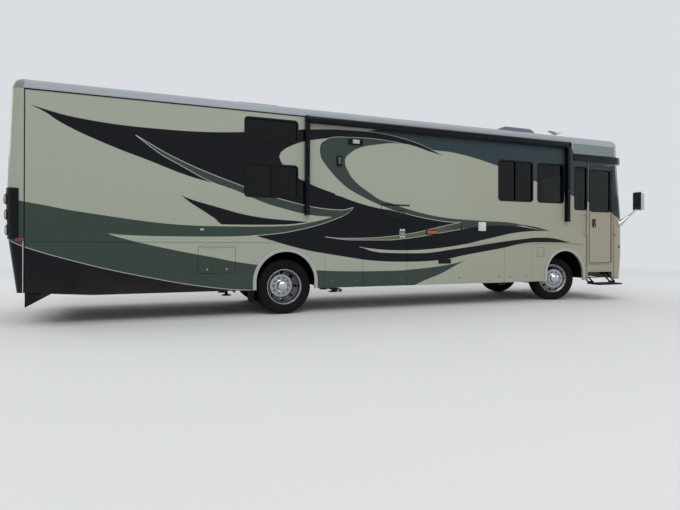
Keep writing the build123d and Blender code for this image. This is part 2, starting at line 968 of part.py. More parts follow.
def front_axle():
    """The dropped front beam with its eyes and kingpins."""
    beam = front_prism(
        make_face(
            Polyline(
                (-kingpin_y, axle_height - 40),
                (-spring_y - 120, front_beam_bottom - 30),
                (spring_y + 120, front_beam_bottom - 30),
                (kingpin_y, axle_height - 40),
                (kingpin_y, axle_height + 40),
                (spring_y + 60, front_beam_top),
                (-spring_y - 60, front_beam_top),
                (-kingpin_y, axle_height + 40),
                close=True,
            )
        ),
        front_axle_x - front_beam_half,
        front_axle_x + front_beam_half,
    )
    half_eye = kingpin_eye_height / 2
    reach = half_eye + 3 + knuckle_lug
    for y in (-kingpin_y, kingpin_y):
        beam = beam - block(
            front_axle_x - 200,
            front_axle_x + 200,
            y - 90 if y < 0 else y,
            y if y < 0 else y + 90,
            axle_height - 100,
            axle_height + 100,
        )
        beam = beam + bar_z(front_axle_x, y, axle_height - half_eye, axle_height + half_eye, kingpin_eye_radius)
        beam = beam + bar_z(front_axle_x, y, axle_height - reach, axle_height + reach, kingpin_radius)
    return beam


axle_tube_radius = 65
axle_spindle_radius = 45
rear_hub_out = 160
rear_hub_in = disc_wall + 100
axle_spindle_end = rear_hub_out - 40
axle_tube_end = rear_track / 2 - disc_wall - 125
banjo_radius = 205
banjo_half = 110
banjo_corner = 60
pinion_length = 210
pinion_radius = 90


def rear_axle():
    """The rear axle's housing: two tubes, their spindles and the round differential case."""
    end = rear_track / 2 + axle_spindle_end
    housing = bar_y(rear_axle_x, -axle_tube_end, axle_tube_end, axle_height, axle_tube_radius)
    housing = housing + bar_y(rear_axle_x, -end, end, axle_height, axle_spindle_radius)
    case = Pos(rear_axle_x, 0, axle_height) * Rot(0, 90, 0) * Cylinder(banjo_radius, 2 * banjo_half)
    case = fillet(case.edges(), banjo_corner)
    pinion = rear_axle_x + banjo_half
    nose = bar_x(pinion - 10, pinion + pinion_length, 0, axle_height, pinion_radius)
    return housing + case + nose


def rear_wheels():
    """The right pair of rear wheels: one rim with a shared hub, and two tyres."""
    y = -rear_track / 2
    outer = Pos(rear_axle_x, y - disc_offset, axle_height)
    inner = Pos(rear_axle_x, y + disc_offset, axle_height)
    disc = wheel_disc(rear_hand_holes)
    centre = Pos(rear_axle_x, y, axle_height)
    shared = centre * hub(-rear_hub_out, rear_hub_in, axle_spindle_radius + running_gap)
    shared = shared + centre * brake_drum(disc_wall)
    return outer * flipped(disc) + inner * disc + shared, [outer * tyre(), inner * tyre()]


leaf_width = 76
leaf_wall = 14
leaf_lengths = (640, 1000, 1400)
spring_y = rail_outer - rail_flange / 2
hanger_length = 50


def leaf_spring(x, seat):
    """One spring on its axle seat, the leaves growing upwards, with hangers to the rail."""
    y0 = -spring_y - leaf_width / 2
    y1 = -spring_y + leaf_width / 2
    pieces = [
        block(x - length / 2, x + length / 2, y0, y1, seat + n * leaf_wall, seat + (n + 1) * leaf_wall)
        for n, length in enumerate(leaf_lengths)
    ]
    top = seat + len(leaf_lengths) * leaf_wall
    reach = leaf_lengths[-1] / 2
    for end in (-reach, reach - hanger_length):
        pieces.append(block(x + end, x + end + hanger_length, y0, y1, top, rail_bottom))
    return joined(pieces)


def leaf_springs():
    """All four springs."""
    front = leaf_spring(front_axle_x, front_beam_top)
    rear = leaf_spring(rear_axle_x, axle_height + axle_tube_radius)
    return both(front) + both(rear)


cross_members = [rail_rear + 432] + [rear_axle_x + x for x in (-2330, -1130, 670, 2270, 3870)]
cross_members += [front_axle_x - 800]
cross_half = 40
cross_margin = 40
riser_stations = [rail_rear + 432] + [rear_axle_x + x for x in (-1830, -730, 1070, 2670)]
riser_stations += [front_axle_x - 1900, front_axle_x - 900, rail_front - 80]
riser_half = 40
engine_front = front_end - 650
engine_length = 800
engine_half = 300
cradle_x = engine_front - 450
cradle_half = 60
cradle_drop = 140
cradle_wall = 60
cradle_top = rail_bottom - cradle_drop + cradle_wall
tank_front = rear_axle_x - 1030
tank_length = 1400
tank_half = 330
tank_bottom = 430


def chassis_frame():
    """Two channel rails with cross members, risers under the floor and the engine's cradle."""
    y_out = rail_outer
    y_web = rail_outer - rail_web
    y_in = rail_outer - rail_flange
    pieces = []
    for side in (-1, 1):
        ys = sorted((side * y_out, side * y_web))
        pieces.append(block(rail_rear, rail_front, ys[0], ys[1], rail_bottom, rail_top))
        ys = sorted((side * y_out, side * y_in))
        for z in (rail_bottom, rail_top - rail_web):
            pieces.append(block(rail_rear, rail_front, ys[0], ys[1], z, z + rail_web))
    for x in cross_members:
        z0 = rail_bottom + cross_margin
        pieces.append(block(x - cross_half, x + cross_half, -y_web, y_web, z0, rail_top - cross_margin))
    for x in riser_stations:
        for side in (-1, 1):
            ys = sorted((side * y_out, side * y_in))
            pieces.append(block(x - riser_half, x + riser_half, ys[0], ys[1], rail_top, belt_height))
    x0 = cradle_x - cradle_half
    x1 = cradle_x + cradle_half
    pieces.append(block(x0, x1, -y_out, y_out, rail_bottom - cradle_drop, cradle_top))
    for side in (-1, 1):
        ys = sorted((side * y_out, side * y_in))
        pieces.append(block(x0, x1, ys[0], ys[1], cradle_top, rail_bottom))
    return joined(pieces)


def engine():
    """The engine as a plain block on its cradle."""
    x0 = engine_front - engine_length
    return block(x0, engine_front, -engine_half, engine_half, cradle_top, belt_height - 20)


def fuel_tank():
    """The fuel tank under the cross members behind the rear axle."""
    x0 = tank_front - tank_length
    tank = block(x0, tank_front, -tank_half, tank_half, tank_bottom, rail_bottom + cross_margin)
    return fillet(tank.edges().filter_by(Axis.X), 50)


receiver_outer = 76
receiver_inner = 51
receiver_pin = 16
receiver_height = 440
receiver_end = rear_end + 40
receiver_pin_inset = 70
hitch_beam = 90
hitch_plate = 40


def hitch():
    """The hitch: plates down from the rails, a cross beam and a square receiver with a pin hole."""
    x0 = rail_rear
    x1 = x0 + hitch_beam
    z0 = receiver_height - hitch_beam / 2
    z1 = receiver_height + hitch_beam / 2
    half = receiver_outer / 2
    hole = receiver_inner / 2
    z = receiver_height
    pieces = [
        block(x0, x1, -rail_outer, rail_outer, z0, z1),
        block(x0, x1, -rail_outer, hitch_plate - rail_outer, z1, rail_bottom),
        block(x0, x1, rail_outer - hitch_plate, rail_outer, z1, rail_bottom),
        block(receiver_end, x0, -half, half, z - half, z + half),
    ]
    whole = joined(pieces) - block(receiver_end - 1, x0 - 20, -hole, hole, z - hole, z + hole)
    return whole - bar_y(receiver_end + receiver_pin_inset, -half - 1, half + 1, z, receiver_pin / 2)


flap_half = half_width - 182.5
flap_bottom = 270
flap_wall = 8


def rear_flap():
    """The full-width flap that hangs below the rear, cut round the receiver."""
    x = rail_rear
    half = receiver_outer / 2 + 2
    flap = block(x - flap_wall, x, -flap_half, flap_half, flap_bottom, tail_skirt_height)
    return flap - block(x - flap_wall - 1, x + 1, -half, half, receiver_height - half, tail_skirt_height + 1)


def floor():
    """The cabin floor with the entry stairwell."""
    y0 = wall - half_width
    slab = block(rear_seam, front_seam, y0, -y0, belt_height, floor_top)
    x0 = door_rear + 4
    x1 = door_front - 4
    depth = stair_count * stair_going
    slab -= block(x0, x1, y0 - 1, y0 + depth, belt_height - 1, floor_top + 1)
    bottom = door_bottom - 20
    rise = (floor_top - bottom - stair_plate) / stair_count
    pieces = [slab]
    for n in range(stair_count):
        y = y0 + n * stair_going
        z = bottom + n * rise
        pieces.append(block(x0, x1, y, y + stair_going, z, z + stair_plate))
        pieces.append(block(x0, x1, y + stair_going - stair_plate, y + stair_going, z, z + rise + stair_plate))
    for x in (x0 - stair_plate, x1):
        pieces.append(block(x, x + stair_plate, y0, y0 + depth, bottom, belt_height + 1))
    return joined(pieces)


# The entry step


def step_link(x, y, turn):
    """A link from its frame pivot, hanging down and swung out by turn degrees."""
    half = step_bar_width / 2
    length = step_link_length
    bar = block(0, step_plate, -half, half, -length, 0)
    bar = bar + bar_x(0, step_plate, 0, 0, half) + bar_x(0, step_plate, 0, -length, half)
    bore = step_pin_radius + running_gap
    bar = bar - bar_x(-1, step_plate + 1, 0, 0, bore) - bar_x(-1, step_plate + 1, 0, -length, bore)
    return Pos(x, -y, step_pivot_height) * Rot(-turn, 0, 0) * bar


step_x0 = door_rear + step_side_room
step_x1 = door_front - step_side_room
step_side_gap = 1
step_link_x = (step_x0 + step_plate + step_side_gap, step_x1 - 2 * step_plate - step_side_gap)


def entry_step():
    """The step's frame, front links, rear links and tread."""
    swing_y = step_link_length * sin(radians(step_parked_angle))
    swing_z = step_link_length * cos(radians(step_parked_angle))
    frame_top = door_bottom - 20
    y0 = -step_frame_outer
    y1 = y0 + step_frame_depth
    plate_bottom = step_pivot_height - 30
    frame = joined(
        [
            block(step_x0, step_x0 + step_plate, y0, y1, plate_bottom, frame_top),
            block(step_x1 - step_plate, step_x1, y0, y1, plate_bottom, frame_top),
            block(step_x0, step_x1, y0, y1, frame_top - step_plate, frame_top),
            block(step_x0, step_x1, y1 - step_plate, y1, frame_top - 80, frame_top),
        ]
    )
    pin = 2 * step_plate + step_side_gap + 3
    for y in (step_front_pivot, step_rear_pivot):
        frame = frame + bar_x(step_x0, step_x0 + pin, -y, step_pivot_height, step_pin_radius)
        frame = frame + bar_x(step_x1 - pin, step_x1, -y, step_pivot_height, step_pin_radius)
    front = [step_link(x, step_front_pivot, step_parked_angle) for x in step_link_x]
    tube = bar_x(
        step_link_x[0],
        step_link_x[1] + step_plate,
        -step_front_pivot - swing_y / 2,
        step_pivot_height - swing_z / 2,
        step_bar_width / 3,
    )
    rear = [step_link(x, step_rear_pivot, step_parked_angle) for x in step_link_x]
    pivot_z = step_pivot_height - swing_z
    tread_top = pivot_z - step_tread_drop
    ya = -step_front_pivot - swing_y
    yb = -step_rear_pivot - swing_y
    outer = ya - (step_tread_depth - (yb - ya)) + 20
    board = block(step_x0, step_x1, outer, yb + 20, tread_top - step_tread_wall, tread_top)
    board = fillet(board.edges().filter_by(Axis.Z), 12)
    tread = board
    for n, x in enumerate(step_link_x):
        side = x + step_plate + step_side_gap if n == 0 else x - step_side_gap - step_plate
        reach = (x - 2, side + step_plate) if n == 0 else (side, x + step_plate + 2)
        tread = tread + block(side, side + step_plate, ya - 16, yb + 16, tread_top, pivot_z + 16)
        for y in (ya, yb):
            tread = tread + bar_x(reach[0], reach[1], y, pivot_z, step_pin_radius)
    return frame, joined(front + [tube]), rear, tread


# What stands on the body

awning_rear_x = rear_axle_x + 320
awning_front_x = front_axle_x + 10
awning_arm_width = 75
awning_arm_depth = 95
awning_arm_bottom = 1710
awning_roller_radius = 62
awning_top = eaves_height


def awning():
    """The folded awning: two arms and the roller between them."""
    y1 = -half_width
    y0 = y1 - awning_arm_depth
    pieces = []
    for x in (awning_rear_x, awning_front_x):
        arm = block(x, x + awning_arm_width, y0, y1, awning_arm_bottom, awning_top)
        pieces.append(fillet(arm.edges().filter_by(Axis.Z).sort_by(Axis.Y)[:2], 15))
    z = awning_top - awning_roller_radius
    roller_y = y1 - awning_roller_radius - 6
    roller = bar_x(awning_rear_x + 10, awning_front_x + 10, roller_y, z, awning_roller_radius)
    return joined(pieces + [roller])


unit_length = 980
unit_width = 720
unit_heights = ((rear_axle_x - 180, 240), (front_axle_x - 330, 320))
unit_nose_height = 140
unit_nose_length = 260
unit_corner = 45
vent_size = 420
vent_height = 110
vent_corner = 40
vent_places = (rear_axle_x - 2530, rear_axle_x + 1570, front_axle_x - 2300)


def roof_units():
    """Two rooftop air conditioners and three vent lids."""
    units = []
    half = unit_width / 2
    for x, height in unit_heights:
        x0 = x - unit_length / 2
        body = block(x0, x0 + unit_length, -half, half, roof_height, roof_height + height)
        nose = body.faces().sort_by(Axis.X)[-1].edges().sort_by(Axis.Z)[-1]
        body = chamfer(nose, height - unit_nose_height, unit_nose_length)
        body = fillet(body.faces().sort_by(Axis.Z)[-1].edges(), unit_corner)
        units.append(body)
    for x in vent_places:
        half = vent_size / 2
        lid = block(x - half, x + half, -half, half, roof_height, roof_height + vent_height)
        units.append(fillet(lid.faces().sort_by(Axis.Z)[-1].edges(), vent_corner))
    return units


mirror_base_z = 1700
mirror_head_z = 2200
mirror_head_height = 420
mirror_head_width = 240
mirror_head_depth = 95
mirror_head_corner = 30
mirror_out = 250
mirror_ahead = 20
mirror_base_back = 250
mirror_base_radius = 78
mirror_base_sink = 20
mirror_cone_length = 230
mirror_cone_radius = 64
mirror_collar_radius = 27
mirror_arm_radius = 22


def mirrors():
    """The two mirrors: a rounded base on the cap's corner, a tapered arm and a head."""
    foot = (front_end - mirror_base_back, -half_width - 4, mirror_base_z)
    head_x = front_end + mirror_ahead
    head_y = -half_width - mirror_out
    top = (head_x, head_y, mirror_head_z - mirror_head_height / 2 + 60)
    along = Plane(origin=foot, z_dir=Vector(*top) - Vector(*foot))
    cone = Cone(mirror_cone_radius, mirror_collar_radius, mirror_cone_length)
    ball = Pos(foot[0], mirror_base_sink - half_width, mirror_base_z) * Sphere(mirror_base_radius)
    base = ball + along * Pos(0, 0, mirror_cone_length / 2) * cone
    head = Pos(head_x, head_y, mirror_head_z) * Box(mirror_head_depth, mirror_head_width, mirror_head_height)
    head = fillet(head.edges(), mirror_head_corner)
    return both(base + rod(foot, top, mirror_arm_radius) + head - front_form())


handle_x = door_rear - 96
handle_bottom = 1420
handle_top = 1910
handle_standoff = 60
handle_radius = 14
handle_post_radius = 12
handle_foot_radius = 26
handle_foot_wall = 8


def grab_handle():
    """The grab handle behind the entry door."""
    y = -half_width - handle_standoff
    bar = bar_z(handle_x, y, handle_bottom, handle_top, handle_radius)
    for z in (handle_bottom + 30, handle_top - 30):
        bar = bar + bar_y(handle_x, y, -half_width, z, handle_post_radius)
        bar = bar + bar_y(handle_x, -half_width - handle_foot_wall, -half_width, z, handle_foot_radius)
    return bar


ladder_standoff = 90
ladder_inner = 450
ladder_outer = 850
ladder_bottom = 900
ladder_top = roof_height + 60
first_rung = 980
last_rung = roof_height - 370
rung_count = 8
ladder_rail_radius = 16
rung_radius = 14
ladder_stay_radius = 12
ladder_top_drop = 12
ladder_stays = (first_rung + 20, 1900, last_rung - 320)


def rear_ladder():
    """The ladder to the roof on the left of the rear."""
    x = rear_end - ladder_standoff
    rails = (ladder_inner, ladder_outer)
    pitch = (last_rung - first_rung) / (rung_count - 1)
    pieces = [bar_z(x, y, ladder_bottom, ladder_top, ladder_rail_radius) for y in rails]
    for n in range(rung_count):
        pieces.append(bar_y(x, ladder_inner, ladder_outer, first_rung + pitch * n, rung_radius))
    for y in rails:
        pieces += [bar_x(x, rear_end + ladder_standoff, y, z, ladder_stay_radius) for z in ladder_stays]
        pieces.append(bar_x(x, rear_seam, y, ladder_top - ladder_top_drop, rung_radius))
        pieces.append(bar_z(rear_seam, y, roof_height - 5, ladder_top, rung_radius))
    ladder = joined(pieces)
    return ladder - rear_form() - block(rear_seam, 0, -half_width, half_width, belt_height, roof_height)


# Inside the cab

driver_y = half_width - 622.5
dash_depth = 260
dash_shelf = 60
dash_height = 450
binnacle_height = 90
dash_right = wall - half_width + stair_count * stair_going + 52.5
steering_wheel_radius = 215
steering_wheel_x = front_seam - dash_depth - 200
steering_wheel_z = floor_top + 670
seat_height = 290
cushion_length = 540
cushion_wall = 160
seat_half = 270
seat_post_radius = 140
seat_corner = 40
back_wall = 150
back_height = 1120


def dashboard():
    """The dashboard with its steering column and wheel."""
    x0 = front_seam - dash_depth
    x1 = front_seam - 5
    y1 = half_width - wall - 2
    z = floor_top + dash_height
    dash = block(x0, x1, dash_right, y1, floor_top, z)
    dash = dash + block(x0 + dash_shelf, x1, dash_right, y1, z, z + binnacle_height)
    hub_place = (steering_wheel_x, driver_y, steering_wheel_z)
    reach = x0 + 40 - steering_wheel_x
    column = rod((steering_wheel_x + reach, driver_y, steering_wheel_z - reach), hub_place, 28)
    wheel = Pos(*hub_place) * Rot(0, -45, 0) * Torus(steering_wheel_radius, 16)
    spokes = Pos(*hub_place) * Rot(0, -45, 0) * Box(40, 2 * steering_wheel_radius, 14)
    return joined([dash, column, wheel, spokes])


def seats():
    """The two front seats."""

    z0 = floor_top + seat_height
    z1 = z0 + cushion_wall

    def seat(x, y):
        post = bar_z(x + 250, y, floor_top, z0, seat_post_radius)
        cushion = block(x, x + cushion_length, y - seat_half, y + seat_half, z0, z1)
        half = seat_half - 10
        back = block(x - 60, x - 60 + back_wall, y - half, y + half, z1 - 60, floor_top + back_height)
        return joined([post, fillet(cushion.edges(), seat_corner), fillet(back.edges(), seat_corner)])

    return [seat(steering_wheel_x - 630, driver_y), seat(door_rear - 876, -driver_y)]


def solids_of(shape):
    """The solids of a piece or of a list of pieces."""
    if isinstance(shape, list):
        return [s for piece in shape for s in piece.solids()]
    return list(shape.solids())


def part_table():
    """Every node with its solids."""
    parts = {}
    parts["chassis_frame"] = chassis_frame()
    parts["floor"] = floor()
    parts["side_walls"] = [side_wall("right"), side_wall("left")]
    parts["roof"] = roof()
    parts["lower_walls"] = [lower_wall("right"), lower_wall("left")]
    parts["front_cap"] = front_cap()
    parts["rear_cap"] = rear_cap()
    parts["windshield"] = windshield()
    parts["brow"] = brow()
    frames, panes = windows()
    parts["window_frames"] = frames
    parts["window_glass"] = panes
    parts["headlamps"] = headlamps()
    parts["grille"] = grille()
    parts["tail_lamps"] = tail_lamps()
    parts["storage_bays"] = [storage_bays("right"), storage_bays("left")]
    parts["wheel_housings"] = both(
        wheel_housing(front_axle_x, front_housing_half, front_housing_inner)
    ) + both(wheel_housing(rear_axle_x, rear_housing_half, rear_housing_inner))
    parts["hinge_rails"] = hinge_rails()
    parts["awning"] = awning()
    parts["roof_units"] = roof_units()
    parts["mirrors"] = mirrors()
    parts["ladder_and_handle"] = [rear_ladder(), grab_handle()]
    parts["dashboard"] = dashboard()
    parts["seats"] = seats()
    parts["engine"] = engine()
    parts["fuel_tank"] = fuel_tank()
    parts["front_axle"] = front_axle()
    parts["rear_axle"] = rear_axle()
    parts["leaf_springs"] = leaf_springs()
    parts["hitch"] = hitch()
    parts["rear_flap"] = rear_flap()
    step_frame, front_links, rear_links, tread = entry_step()
    parts["entry_step_frame"] = step_frame
    parts["entry_step_front_links"] = front_links
    parts["entry_step_rear_links"] = rear_links
    parts["entry_step_tread"] = tread
    parts["entry_door"] = entry_door()
    parts["entry_door_glass"] = entry_door_glass()
    parts["hood"] = hood()
    parts["access_door"] = access_door()
    parts["fuel_door"] = fuel_door()
    for side in ("right", "left"):
        for n, (a, b) in enumerate(bay_rows(side)):
            parts[f"bay_door_{side}_{n + 1}"] = bay_door(a, b, side)
    parts["knuckle_right"] = steered(knuckle())
    parts["knuckle_left"] = steered_left(knuckle())
    parts["tie_rod"] = tie_rod()
    rim, rubber = front_wheel()
    parts["front_rim_right"] = steered(rim)
    parts["front_tyre_right"] = steered(rubber)
    parts["front_rim_left"] = steered_left(rim)
    parts["front_tyre_left"] = steered_left(rubber)
    rims, rubbers = rear_wheels()
    parts["rear_rims_right"] = rims
    parts["rear_tyres_right"] = rubbers
    parts["rear_rims_left"] = left_of(rims)
    parts["rear_tyres_left"] = [left_of(r) for r in rubbers]
    return parts


def main():
    os.makedirs("parts", exist_ok=True)
    for name, shape in part_table().items():
        export_step(Compound(solids_of(shape)), f"parts/{name}.step")


main()
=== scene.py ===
"""The motorhome's looks round its CAD frame: finishes, trim, underbody, cab, studio and camera."""
import json
import math

import bmesh
import bpy
from mathutils import Matrix, Vector
from mathutils.bvhtree import BVHTree

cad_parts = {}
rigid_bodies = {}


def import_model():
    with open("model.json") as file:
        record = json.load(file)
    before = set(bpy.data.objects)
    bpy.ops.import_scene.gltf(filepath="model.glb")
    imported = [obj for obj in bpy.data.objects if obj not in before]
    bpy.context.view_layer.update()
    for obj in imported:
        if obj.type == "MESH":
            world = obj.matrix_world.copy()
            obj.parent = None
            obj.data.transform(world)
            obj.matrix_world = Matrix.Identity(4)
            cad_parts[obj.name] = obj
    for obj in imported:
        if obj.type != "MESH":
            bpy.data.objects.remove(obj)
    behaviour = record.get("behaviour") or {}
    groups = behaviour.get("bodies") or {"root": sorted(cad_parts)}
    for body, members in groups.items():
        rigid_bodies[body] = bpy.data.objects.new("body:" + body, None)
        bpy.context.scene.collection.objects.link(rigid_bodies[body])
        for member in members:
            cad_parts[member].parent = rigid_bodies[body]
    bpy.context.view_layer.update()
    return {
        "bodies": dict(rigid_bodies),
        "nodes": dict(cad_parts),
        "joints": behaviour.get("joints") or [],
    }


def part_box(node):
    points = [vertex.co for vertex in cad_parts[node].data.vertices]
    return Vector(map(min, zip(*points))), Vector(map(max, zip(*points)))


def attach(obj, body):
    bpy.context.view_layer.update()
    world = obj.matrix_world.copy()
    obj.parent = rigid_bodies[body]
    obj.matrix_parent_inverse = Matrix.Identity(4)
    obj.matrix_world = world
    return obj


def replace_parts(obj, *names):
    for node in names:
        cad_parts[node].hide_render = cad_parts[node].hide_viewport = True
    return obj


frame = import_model()
nodes = frame["nodes"]

# Places that the frame gives, in metres
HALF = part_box("side_walls")[1][1]
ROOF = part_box("roof")[1][2]
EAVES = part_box("side_walls")[1][2]
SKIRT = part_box("storage_bays")[0][2]
REAR_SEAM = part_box("side_walls")[0][0]
FRONT_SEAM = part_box("side_walls")[1][0]
FLOOR_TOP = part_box("floor")[1][2]
PIVOTS = {joint["name"]: Vector(joint["pos_m"]) for joint in frame["joints"]}
FRONT_AXLE = PIVOTS["steer_left"].x
REAR_AXLE = PIVOTS["rear_wheels_left_spin"].x


# Helpers for materials


def linear(colour):
    """A colour written in 0 to 255 as the shader's own numbers."""
    parts = [c / 255 for c in colour]
    return tuple(c / 12.92 if c <= 0.04045 else ((c + 0.055) / 1.055) ** 2.4 for c in parts) + (1.0,)


def scaled(colour, factor):
    """A colour made darker or lighter."""
    return tuple(min(1.0, part * factor) for part in colour[:3]) + (1.0,)


def put(tree, socket, value):
    """A value, or a link from another socket, on a socket."""
    value = getattr(value, "socket", value)
    if isinstance(value, bpy.types.NodeSocket):
        tree.links.new(value, socket)
    else:
        socket.default_value = value


def add(tree, kind, *inputs, **settings):
    """A node with its settings, and its inputs in order; None leaves one as it is."""
    node = tree.nodes.new("ShaderNode" + kind)
    for key, value in settings.items():
        setattr(node, key, value)
    for socket, value in zip(node.inputs, inputs):
        if value is not None:
            put(tree, socket, value)
    return node


class Number:
    """A socket that takes part in sums as a number does."""

    def __init__(self, tree, socket):
        self.tree = tree
        self.socket = socket

    def math(self, operation, *others, clamp=False):
        """One sum of the Math node, with this number first."""
        node = add(self.tree, "Math", self, *others, operation=operation, use_clamp=clamp)
        return Number(self.tree, node.outputs[0])

    def ramp(self, low, high, start=0.0, end=1.0):
        """This number taken from one range to another, held at the ends."""
        node = add(self.tree, "MapRange", self, low, high, start, end, clamp=True)
        return Number(self.tree, node.outputs[0])

    def __add__(self, other):
        return self.math("ADD", other)

    def __sub__(self, other):
        return self.math("SUBTRACT", other)

    def __rsub__(self, other):
        node = add(self.tree, "Math", other, self, operation="SUBTRACT")
        return Number(self.tree, node.outputs[0])

    def __mul__(self, other):
        return self.math("MULTIPLY", other)

    def __abs__(self):
        return self.math("ABSOLUTE")


class Look:
    """A material in the making: its tree, its shader and its object coordinates."""

    def __init__(self, name):
        self.material = bpy.data.materials.new(name)
        self.material.use_nodes = True
        self.tree = self.material.node_tree
        self.shader = self.tree.nodes["Principled BSDF"]
        self.coords = add(self.tree, "TexCoord").outputs["Object"]

    def split(self, vector):
        """A vector's three parts."""
        return [Number(self.tree, part) for part in add(self.tree, "SeparateXYZ", vector).outputs]

    def vector(self, operation, *inputs):
        """A sum of vectors: its result as a vector and as a number."""
        node = add(self.tree, "VectorMath", *inputs, operation=operation)
        return node.outputs[0], Number(self.tree, node.outputs[1])

    def noise(self, scale, detail=3.0, roughness=0.5):
        """Soft random mottling in object coordinates; the scale is in blots a metre."""
        node = add(self.tree, "TexNoise", self.coords, None, scale, detail, roughness)
        return Number(self.tree, node.outputs[0])

    def mix(self, factor, a, b):
        """Two colours mixed."""
        node = add(self.tree, "Mix", data_type="RGBA")
        for index, value in ((0, factor), (6, a), (7, b)):
            put(self.tree, node.inputs[index], value)
        return node.outputs[2]

    def done(self, colour, roughness, bump=None, **others):
        """The material with its sockets set; a bump is its height, strength and distance."""
        if bump:
            height, strength, distance = bump
            node = add(self.tree, "Bump", strength, distance)
            put(self.tree, node.inputs["Height"], height)
            others["normal"] = node.outputs[0]
        for key, value in {"base_color": colour, "roughness": roughness, **others}.items():
            name = key.replace("_", " ").title().replace("Ior", "IOR")
            put(self.tree, self.shader.inputs[name], value)
        return self.material


